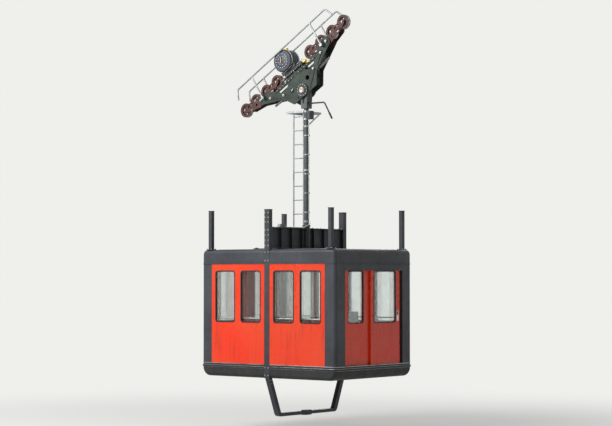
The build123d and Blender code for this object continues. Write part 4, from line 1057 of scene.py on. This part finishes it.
class TRAMCAR_OT_carriage_bolts(bpy.types.Operator):
    """Nuts of axles, pins and spacers, keeper plates of the truck pins, and the plates' small bolts"""

    bl_idname = "tramcar.carriage_bolts"
    bl_label = "Carriage bolts"

    def execute(self, context):
        axles = both_sides(WHEEL_ALONGS, WHEEL_OFF, AXLE_FACE)
        bolted("axle_nuts", axles, "carriage", "bright_steel", 16)
        spacers = both_sides((-SPACER_ALONG, SPACER_ALONG), SPACER_OFF, FRAME_FACE + RIB + 1)
        pins = both_sides(ROCKER_ALONGS, ROCKER_PIN_OFF, BOSS_FACE)
        pins += both_sides((-SOCKET_PIN_ALONG, SOCKET_PIN_ALONG), SOCKET_PIN_OFF, BOSS_FACE)
        bolted("pin_nuts", pins + spacers, "carriage", "bright_steel", 22)
        pads = bmesh.new()
        for centre, facing in spacers:
            turned(pads, centre, facing, [(-RIB - 3, 35), (-2, 35), (0, 33)], 40)
        settle_shape("spacer_pads", pads, "green", "carriage")
        keepers, small = bmesh.new(), []
        for centre, facing in both_sides(TRUCK_ALONGS, TRUCK_PIN_OFF, TRUCK_PIN_FACE):
            middle = centre - Vector(facing) * 3 - OFF_TRACK * 24
            block(keepers, middle, (66, 6, 20), 1.5, UPHILL, OFF_TRACK)
            small += [(middle + UPHILL * u * 23 + Vector(facing) * 3, facing) for u in (-1, 1)]
        settle_shape("pin_keepers", keepers, "turned", "carriage")
        # Round the damper discs and the main pin's caps
        for radius, count, face in ((118, 12, DAMPER_FACE), (50, 6, CAP_FACE)):
            for centre, facing in both_sides((0,), PIN_OFF, face):
                small += bolt_circle(centre, facing, radius, count, UPHILL)
        # Along the frame's ribs, and in the feet of the handrails
        alongs = [end * (110 + 90 * i) for i in range(6) for end in (-1, 1)]
        small += both_sides(alongs, -65, FRAME_FACE + RIB)
        for end, side in CORNERS:
            small += [(on_carriage(end * HANDRAIL_FOOT_ALONG + u * 22, side * HANDRAIL_FACE,
                                   HANDRAIL_FOOT_OFF + v * 18), (0, side, 0)) for u, v in CORNERS]
        bolted("plate_bolts", small, "carriage", "bright_steel", 8)
        return {"FINISHED"}


class TRAMCAR_OT_damper_fittings(bpy.types.Operator):
    """Grease nipples on the main pin's caps and ring covers on the damper discs"""

    bl_idname = "tramcar.damper_fittings"
    bl_label = "Damper fittings"

    def execute(self, context):
        nipples, covers = bmesh.new(), bmesh.new()
        for centre, facing in both_sides((0,), PIN_OFF, CAP_FACE):
            turned(nipples, centre, facing,
                   [(-1, 15), (5, 15), (7, 13), (7, 6), (15, 6), (16, 8), (21, 8), (24, 4)], 20)
        for centre, facing in both_sides((0,), PIN_OFF, DAMPER_FACE):
            turned(covers, centre, facing,
                   [(-1, 66), (-1, 99), (5, 99), (8, 95), (8, 70), (5, 66)], 48, closed=True)
        settle_shape("pin_grease_nipples", nipples, "brass", "carriage")
        settle_shape("damper_covers", covers, "black", "carriage")
        return {"FINISHED"}


class TRAMCAR_OT_brake_gear(bpy.types.Operator):
    """Clamping springs and rods beside the track brake, cylinder sleeves and the brake pipes"""

    bl_idname = "tramcar.brake_gear"
    bl_label = "Brake gear"

    def execute(self, context):
        feet = [on_carriage(along, side * SPRING_SIDE, SPRING_OFF)
                for along in SPRING_STARTS for side in (-1, 1)]
        grown("brake_springs", "springs", [(foot, UPHILL) for foot in feet], "carriage", "brake_black",
              "coating", radius=19, wire=4.2, length=SPRING_LENGTH)
        rods, plates = bmesh.new(), bmesh.new()
        for foot in feet:
            turned(rods, foot, UPHILL,
                   [(-34, 6), (-32, 8), (SPRING_LENGTH + 32, 8), (SPRING_LENGTH + 34, 6)], 16)
            for place in (-8, SPRING_LENGTH + 8):
                middle = foot + UPHILL * place - Vector((0, 6 if foot.y > 0 else -6, 0))
                block(plates, middle, (14, 56, 52), 4, UPHILL, OFF_TRACK)
        settle_shape("brake_rods", rods, "turned", "carriage")
        settle_shape("brake_spring_plates", plates, "black", "carriage")
        nuts = [(foot + UPHILL * place, UPHILL * turn) for foot in feet
                for place, turn in ((SPRING_LENGTH + 15, 1), (-15, -1))]
        bolted("brake_rod_nuts", nuts, "carriage", "bright_steel", 15)
        pipes, unions = [], []
        for (place, end), finish in zip(ENDS, ("brass", "turned")):
            sleeves = bmesh.new()
            from_drum = DRUM_ALONG + end * 96
            for side in (-1, 1):
                foot = on_carriage(end * BRAKE_END, side * CYLINDER_SIDE, CYLINDER_OFF)
                turned(sleeves, foot, UPHILL * end, [
                    (44, 25), (44, 30), (48, 33), (90, 33), (96, 30), (114, 29), (122, 25), (126, 12)], 32)
                pipes.append([on_carriage(along, side * y, off) for along, y, off in (
                    (from_drum, 60, 172), (from_drum, 60, 138), (end * 262, 60, 138),
                    (end * 300, 74, 138), (end * 318, 74, 86))])
                unions.append((on_carriage(end * 318, side * 74, 88), OFF_TRACK))
            settle_shape(f"cylinder_sleeves_{place}", sleeves, finish, "carriage")
        run("brake_pipes", pipes, "carriage", "brake_black", "stainless", "oval_run",
            width=12, height=12, bend=24)
        bolted("pipe_unions", unions, "carriage", "brake_black", 12, "brass")
        return {"FINISHED"}


class TRAMCAR_OT_drum_fittings(bpy.types.Operator):
    """Straps, end covers, filler, level glass and drain of the hydraulic drum"""

    bl_idname = "tramcar.drum_fittings"
    bl_label = "Drum fittings"

    def execute(self, context):
        centre = on_carriage(DRUM_ALONG, 0, DRUM_OFF)
        round_drum = [((DRUM_RADIUS + 2) * cos(a), (DRUM_RADIUS + 2) * sin(a))
                      for a in [2 * pi * (i + 18.5) / 72 for i in range(72)]]
        straps = [[centre + Vector((x, y, z)) for x, z in round_drum] for y in (-110, 110)]
        run("drum_straps", straps, "carriage", "drum_grey", "galvanised", closed=True,
            width=28, height=6, bend=0.5)
        covers, brass_parts, glass, screws = bmesh.new(), bmesh.new(), bmesh.new(), []
        for side in (-1, 1):
            foot, facing = centre + Vector((0, side * DRUM_HALF, 0)), (0, side, 0)
            turned(covers, foot, facing, [
                (-2, 60), (-2, 172), (7, 172), (9, 169), (9, 128), (15, 116), (15, 60)], 64, closed=True)
            turned(covers, foot, facing, [(8, 63), (17, 63), (20, 58), (21, 20)], 40)
            for radius, lift, count in ((150, 9, 16), (88, 15, 8)):
                screws += bolt_circle(foot + Vector(facing) * lift, facing, radius, count)
        settle_shape("drum_end_covers", covers, "drum", "carriage")
        bolted("drum_cover_bolts", screws, "carriage", "drum_grey", 9)
        turned(brass_parts, centre + Vector((0, 0, DRUM_RADIUS)), UP, [
            (-8, 34), (14, 34), (16, 40), (34, 40), (38, 36), (40, 14)], 24)
        turned(brass_parts, centre - Vector((0, 0, DRUM_RADIUS)), DOWN, [
            (-8, 20), (10, 20), (12, 12), (20, 12)], 20)
        gauge = centre - Vector((0, DRUM_HALF + 34, 0))
        for z in (-50, 50):
            block(brass_parts, gauge + Vector((0, 10, z)), (24, 42, 22), 3)
        settle_shape("drum_brass_fittings", brass_parts, "brass", "carriage")
        turned(glass, gauge - Vector((0, 0, 44)), UP, [(0, 7), (2, 8), (86, 8), (88, 7)], 20)
        settle_shape("drum_level_glass", glass, "lens", "carriage")
        return {"FINISHED"}


class TRAMCAR_OT_hanger_fittings(bpy.types.Operator):
    """The lamp's conduit down the hanger with clamps and box, the sleeve's clamp ring and the lever's grip"""

    bl_idname = "tramcar.hanger_fittings"
    bl_label = "Hanger fittings"

    def execute(self, context):
        conduit = [upright(x, y, z) for x, y, z in (
            (70, 0, BOX_HEIGHT - 80), (70, 0, BEAM_TOP + 190), (104, 0, BEAM_TOP + 110),
            (104, -60, BEAM_TOP + 60), (18, -130, BEAM_TOP + 11), (18, -735, BEAM_TOP + 11))]
        run("lamp_conduit", [conduit], "cabin", "hanger_grey", "stainless", "oval_run",
            width=20, height=20, bend=50)
        clamps, boxes, ring, grip = [bmesh.new() for i in range(4)]
        screws = []
        for z in range(-1320, -3320, -400):
            turned(clamps, upright(0, 0, z), UP, [
                (-14, 49), (-14, 53), (14, 53), (14, 49)], 40, closed=True)
            block(clamps, upright(68, 0, z), (36, 32, 26), 4)
            screws += [(upright(68, side * 16, z), (0, side, 0)) for side in (-1, 1)]
        settle_shape("conduit_clamps", clamps, "galvanised", "cabin")
        block(boxes, upright(96, 0, BOX_HEIGHT), (84, 130, 170), 6)
        block(boxes, upright(141, 0, BOX_HEIGHT), (8, 138, 178), 3)
        settle_shape("hanger_junction_box", boxes, "switchgear", "cabin")
        screws += [(upright(145, u * 58, BOX_HEIGHT + v * 78), UP_END) for u, v in CORNERS]
        turned(ring, upright(0, 0, BEAM_TOP + 40), UP, [
            (0, 51), (0, 84), (3, 88), (19, 88), (22, 84), (22, 51)], 48, closed=True)
        settle_shape("sleeve_clamp_ring", ring, "slate", "cabin")
        rims = bolt_circle(upright(0, 0, BEAM_TOP + 62), UP, 70, 8)
        bolted("sleeve_bolts", rims, "cabin", "frame_slate", 9)
        bolted("clamp_screws", screws, "cabin", "hanger_grey", 6)
        low, high = span("brake_release_lever")
        turned(grip, (high.x - 14, 0, low.z + 8), (-190, 0, 330), [
            (-22, 12), (-16, 19), (0, 20), (20, 19), (44, 21), (68, 19), (92, 21), (120, 20), (126, 17)], 24)
        settle_shape("lever_grip", grip, "rubber", "cabin")
        return {"FINISHED"}


class TRAMCAR_OT_lamp_fittings(bpy.types.Operator):
    """The roof lamp's lens, bezel and wire guard"""

    bl_idname = "tramcar.lamp_fittings"
    bl_label = "Lamp fittings"

    def execute(self, context):
        low, high = span("roof_lamp")
        face = Vector(((low.x + high.x) / 2, low.y, (low.z + high.z) / 2 - 4))
        lens, bezel = bmesh.new(), bmesh.new()
        turned(lens, face, NEAR, [(-2, 24), (4, 24), (9, 22), (13, 17), (15, 9), (15.6, 1)], 32)
        turned(bezel, face, NEAR, [(-2, 25), (-2, 30), (5, 30), (7, 28), (7, 25)], 32, closed=True)
        settle_shape("lamp_lens", lens, "lens", "cabin")
        settle_shape("lamp_bezel", bezel, "stainless", "cabin")
        bow = (2, 34), (-26, 30), (-26, -30), (2, -34)
        bars = [[face + Vector((x, y, z)) for y, z in bow] for x in (-14, 14)]
        run("lamp_guard", bars, "cabin", "frame_slate", "stainless", "oval_run", width=5, height=5, bend=12)
        return {"FINISHED"}


class TRAMCAR_OT_floor_covering(bpy.types.Operator):
    """Studded rubber over the floor and its hatch, and skirting along the side walls"""

    bl_idname = "tramcar.floor_covering"
    bl_label = "Floor covering"

    def execute(self, context):
        mat, lid = bmesh.new(), bmesh.new()
        for rectangle in round_hatch(HATCH_FLOOR):
            sheet(mat, rectangle, DECK + 1, 2, 0.5)
        sheet(lid, HATCH_LID, DECK + 1, 2, 0.5)
        settle_shape("floor_mat", mat, "studs", "cabin")
        settle_shape("floor_hatch_mat", lid, "studs", "floor_hatch")
        pitch = context.scene.car_sizes.stud_pitch / MM
        along, across = int(ROOM[1] / pitch), int(ROOM[3] / pitch)
        on_floor, on_lid = [], []
        for i in range(-along, along + 1):
            for j in range(-across, across + 1):
                x, y = i * pitch, (j + 0.5 * (i % 2)) * pitch
                place = (upright(x, y, DECK + 2.6), UP)
                if inside(x, y, HATCH_LID, -STUD_CLEAR):
                    on_lid.append(place)
                elif inside(x, y, ROOM, -STUD_CLEAR) and not any(
                        inside(x, y, box, STUD_CLEAR) for box in STANDING):
                    on_floor.append(place)
        for name, places, body in (("floor_studs", on_floor, "cabin"),
                                   ("floor_hatch_studs", on_lid, "floor_hatch")):
            grown(name, "studs", places, body, "frame_slate", "studs", radius=13, height=2.4)
        boards = [[upright(x, side * (ROOM[3] + 6), DECK + 50) for x in ROOM[:2]] for side in (-1, 1)]
        run("floor_skirting", boards, "cabin", "pole_steel", "anodised", width=8, height=100, bend=1)
        return {"FINISHED"}


class TRAMCAR_OT_ceiling(bpy.types.Operator):
    """Laminate lining with its joint strips, two rows of lights, and the screws of the poles' flanges"""

    bl_idname = "tramcar.ceiling"
    bl_label = "Ceiling"

    def execute(self, context):
        lining, trays, lenses = bmesh.new(), bmesh.new(), bmesh.new()
        for rectangle in round_hatch(HATCH_ROOF):
            sheet(lining, rectangle, CEILING - 3, 6, 1)
        settle_shape("ceiling_lining", lining, "laminate", "cabin")
        for x, y in LIGHT_PLACES:
            block(trays, upright(x, y, CEILING - 20), (1100, 110, 30), 4)
            block(lenses, upright(x, y, CEILING - 38), (1060, 84, 12), 5)
        settle_shape("ceiling_light_trays", trays, "anodised", "cabin")
        settle_shape("ceiling_light_lenses", lenses, "lens", "cabin")
        x0, x1, y0, y1 = HATCH_ROOF
        seams = [[upright(x, y, CEILING - 7) for y in ROOM[2:]] for x in (x0, x1, 300, 1100)]
        seams += [[upright(x, y, CEILING - 7) for x in (x0, x1)] for y in (y0, y1)]
        run("ceiling_seams", seams, "cabin", "pole_steel", "anodised", width=26, height=3, bend=1)
        flanges = [place for x, y in POLE_PLACES
                   for place in bolt_circle(upright(x, y, DECK + 8), UP, 31, 4)]
        bolted("pole_flange_screws", flanges, "cabin", "pole_steel", 4.5)
        return {"FINISHED"}


class TRAMCAR_OT_console_controls(bpy.types.Operator):
    """The console's levers, push buttons, gauges and door seam"""

    bl_idname = "tramcar.console_controls"
    bl_label = "Console controls"

    def execute(self, context):
        low, high = span("operator_console")
        middle = (low.y + high.y) / 2
        foot = Vector((low.x, middle, DECK + 960))
        slope = Vector((high.x - 110, middle, high.z)) - foot
        along = slope.normalized()
        out = Vector((-along.z, 0, along.x))

        def on_desk(share, y, height):
            return foot + slope * share + Vector((0, y, 0)) + out * height

        plate, metal, grips, reds, bezel, dial = [bmesh.new() for i in range(6)]
        block(plate, on_desk(0.5, 0, 1), (200, 500, 4), 1.5, along, out)
        for y in (-170, 170):
            block(metal, on_desk(0.42, y, 5), (120, 34, 6), 2, along, out)
            turned(metal, on_desk(0.42, y, 4), out, [(0, 7), (92, 6)], 16)
            turned(grips, on_desk(0.42, y, 88), out, [(0, 9), (6, 15), (18, 19), (30, 16), (36, 6)], 24)
        for row, share in enumerate((0.22, 0.42)):
            for y in (-90, -45, 0, 45, 90):
                turned(metal, on_desk(share, y, 2), out, [(0, 14), (5, 14), (6, 13)], 20)
                cap = grips if (row + y // 45) % 2 else reds
                turned(cap, on_desk(share, y, 7), out, [(0, 10), (5, 10), (7, 8)], 20)
        turned(reds, on_desk(0.80, 200, 3), out, [(0, 12), (18, 12), (18, 24), (26, 24), (32, 16)], 28)
        for y in (-70, 20):
            turned(bezel, on_desk(0.76, y, 2), out, [
                (0, 30), (0, 38), (12, 38), (14, 35), (14, 30)], 36, closed=True)
            turned(dial, on_desk(0.76, y, 2), out, [(0, 31), (9, 31)], 36)
            block(grips, on_desk(0.76, y, 12) + along * 6, (30, 3, 1.5), 0.5, along, out)
        for name, shape, finish in (
            ("console_plate", plate, "switchgear"), ("console_metal", metal, "stainless"),
            ("console_grips", grips, "rubber"), ("console_red_buttons", reds, "enamel"),
            ("console_bezels", bezel, "stainless"), ("console_dials", dial, "laminate"),
        ):
            settle_shape(name, shape, finish, "cabin")
        seam = [Vector((low.x + 60, middle + y, DECK + z)) for y, z in (
            (-240, 90), (240, 90), (240, 720), (-240, 720))]
        run("console_door_seam", [seam], "cabin", "console_grey", "rubber", closed=True,
            width=3, height=6, bend=14)
        return {"FINISHED"}


def seen_rays(tree):
    """1 for rays that show things: the camera's and those that glass passes on or gloss reflects."""
    path = add(tree, "ShaderNodeLightPath")
    straight = add(tree, "ShaderNodeMath", {
        0: path.outputs["Is Camera Ray"], 1: path.outputs["Is Transmission Ray"],
    }, operation="MAXIMUM")
    return add(tree, "ShaderNodeMath", {
        0: straight.outputs[0], 1: path.outputs["Is Glossy Ray"],
    }, operation="MAXIMUM").outputs[0]


def make_floor(middle, level):
    """One pale plane out to the horizon, seen only from above, that fades into the backdrop far off."""
    mesh = bpy.data.meshes.new("studio_floor")
    mesh.from_pydata([
        (middle.x + x * FLOOR_REACH, middle.y + y * FLOOR_REACH, level)
        for x, y in ((-1, -1), (1, -1), (1, 1), (-1, 1))
    ], [], [(0, 1, 2, 3)])
    floor = bpy.data.objects.new("studio_floor", mesh)
    bpy.context.scene.collection.objects.link(floor)
    material, tree = new_finish("matt_studio_paper")
    paper = add(tree, "ShaderNodeBsdfDiffuse", {"Color": linear(PALE)})
    backdrop = add(tree, "ShaderNodeEmission", {"Color": linear(BACKDROP), "Strength": 1.0})
    away = add(tree, "ShaderNodeVectorMath", {
        0: add(tree, "ShaderNodeTexCoord").outputs["Object"], 1: (middle.x, middle.y, level),
    }, operation="DISTANCE")
    far = add(tree, "ShaderNodeMapRange", {
        "Value": away.outputs["Value"], "From Min": FADE_FROM, "From Max": FADE_TO, "To Min": NEAR_PALE,
    }, interpolation_type="SMOOTHERSTEP")
    fade = add(tree, "ShaderNodeMath", {0: far.outputs["Result"], 1: seen_rays(tree)}, operation="MULTIPLY")
    top = add(tree, "ShaderNodeMixShader", {
        0: fade.outputs[0], 1: paper.outputs["BSDF"], 2: backdrop.outputs["Emission"],
    })
    whole = add(tree, "ShaderNodeMixShader", {
        0: add(tree, "ShaderNodeNewGeometry").outputs["Backfacing"],
        1: top.outputs["Shader"], 2: add(tree, "ShaderNodeBsdfTransparent").outputs["BSDF"],
    })
    add(tree, "ShaderNodeOutputMaterial", {"Surface": whole.outputs["Shader"]})
    mesh.materials.append(material)


def make_sky():
    """An even sky, dim as a light and as pale as the backdrop where it is seen."""
    world = bpy.data.worlds.new("studio_sky")
    world.use_nodes = True
    tree = world.node_tree
    tree.nodes.clear()
    sky = add(tree, "ShaderNodeBackground", {"Color": linear(SKY), "Strength": SKY_STRENGTH})
    white = add(tree, "ShaderNodeBackground", {"Color": linear(BACKDROP), "Strength": 1.0})
    mix = add(tree, "ShaderNodeMixShader", {
        0: seen_rays(tree), 1: sky.outputs["Background"], 2: white.outputs["Background"],
    })
    add(tree, "ShaderNodeOutputWorld", {"Surface": mix.outputs["Shader"]})
    bpy.context.scene.world = world


def stand(data, middle, azimuth, elevation, distance):
    """A lamp or camera on the scene, this far from the middle and looking at it."""
    thing = bpy.data.objects.new(data.name, data)
    towards = Vector((sin(azimuth) * cos(elevation), -cos(azimuth) * cos(elevation), sin(elevation)))
    thing.location = middle + towards * distance
    thing.rotation_euler = towards.to_track_quat("Z", "Y").to_euler()
    bpy.context.scene.collection.objects.link(thing)
    return thing


def make_lights(middle, studio):
    """A broad key from the viewer's left, a weak fill and a lamp for the far side."""
    for name, turn, height, size, strength in (
        ("key_light", -60, 27, 9.0, studio.key_strength),
        ("fill_light", 55, 12, 10.0, studio.fill_strength),
        ("back_light", 166, 18, 10.0, studio.back_strength),
    ):
        lamp = bpy.data.lights.new(name, "AREA")
        lamp.energy = strength
        lamp.size = size
        stand(lamp, middle, studio.azimuth + radians(turn), radians(height), LAMP_DISTANCE)


def make_camera(middle, height, studio):
    """A long lens at the photograph's angle, with the car as tall as the picture but for a margin."""
    viewer = bpy.data.cameras.new("viewer")
    viewer.sensor_fit = "HORIZONTAL"
    viewer.sensor_width = SENSOR
    viewer.lens = studio.distance * SENSOR / (height * studio.margin * PICTURE_ASPECT)
    viewer.clip_end = 2 * FLOOR_REACH
    bpy.context.scene.camera = stand(viewer, middle, studio.azimuth, studio.elevation, studio.distance)
    bpy.context.scene.view_settings.view_transform = "Standard"


class TRAMCAR_OT_stage(bpy.types.Operator):
    """Set up the pale floor and backdrop, the soft lights and the camera"""

    bl_idname = "tramcar.stage"
    bl_label = "Stage and camera"

    def execute(self, context):
        studio = context.scene.studio
        low, high = Vector(cad_low), Vector(cad_high)
        middle = (low + high) / 2
        make_floor(middle, low.z - FLOOR_DROP)
        make_lights(middle, studio)
        make_sky()
        make_camera(middle, high.z - low.z, studio)
        return {"FINISHED"}


STEPS = [
    TRAMCAR_OT_finishes, TRAMCAR_OT_window_seals, TRAMCAR_OT_panel_rivets, TRAMCAR_OT_body_trims,
    TRAMCAR_OT_door_fittings, TRAMCAR_OT_roof_fittings, TRAMCAR_OT_frame_bolts, TRAMCAR_OT_wheel_grooves,
    TRAMCAR_OT_carriage_bolts, TRAMCAR_OT_damper_fittings, TRAMCAR_OT_brake_gear,
    TRAMCAR_OT_drum_fittings, TRAMCAR_OT_hanger_fittings, TRAMCAR_OT_lamp_fittings,
    TRAMCAR_OT_floor_covering, TRAMCAR_OT_ceiling, TRAMCAR_OT_console_controls, TRAMCAR_OT_stage,
]
GROUPS = (("car_colours", CarColours), ("car_sizes", CarSizes), ("studio", StudioSettings))


class TRAMCAR_PT_panel(bpy.types.Panel):
    """Colours, sizes and the steps that fit out the car"""

    bl_idname = "TRAMCAR_PT_panel"
    bl_label = "Tramway car"
    bl_space_type = "VIEW_3D"
    bl_region_type = "UI"
    bl_category = "Tramway car"

    def draw(self, context):
        for name, group in GROUPS:
            box = self.layout.box()
            for label in group.__annotations__:
                box.prop(getattr(context.scene, name), label)
        for step in STEPS:
            self.layout.operator(step.bl_idname)


def register():
    """Register the classes and put their settings on the scene."""
    for name, group in GROUPS:
        bpy.utils.register_class(group)
        setattr(bpy.types.Scene, name, bpy.props.PointerProperty(type=group))
    for item in STEPS + [TRAMCAR_PT_panel]:
        bpy.utils.register_class(item)


def unregister():
    """Take the classes and their settings away again."""
    for item in reversed(STEPS + [TRAMCAR_PT_panel]):
        bpy.utils.unregister_class(item)
    for name, group in reversed(GROUPS):
        delattr(bpy.types.Scene, name)
        bpy.utils.unregister_class(group)


def main():
    """Fit out the car step by step."""
    register()
    for step in STEPS:
        getattr(bpy.ops.tramcar, step.bl_idname.split(".")[1])()


if __name__ == "__main__":
    main()
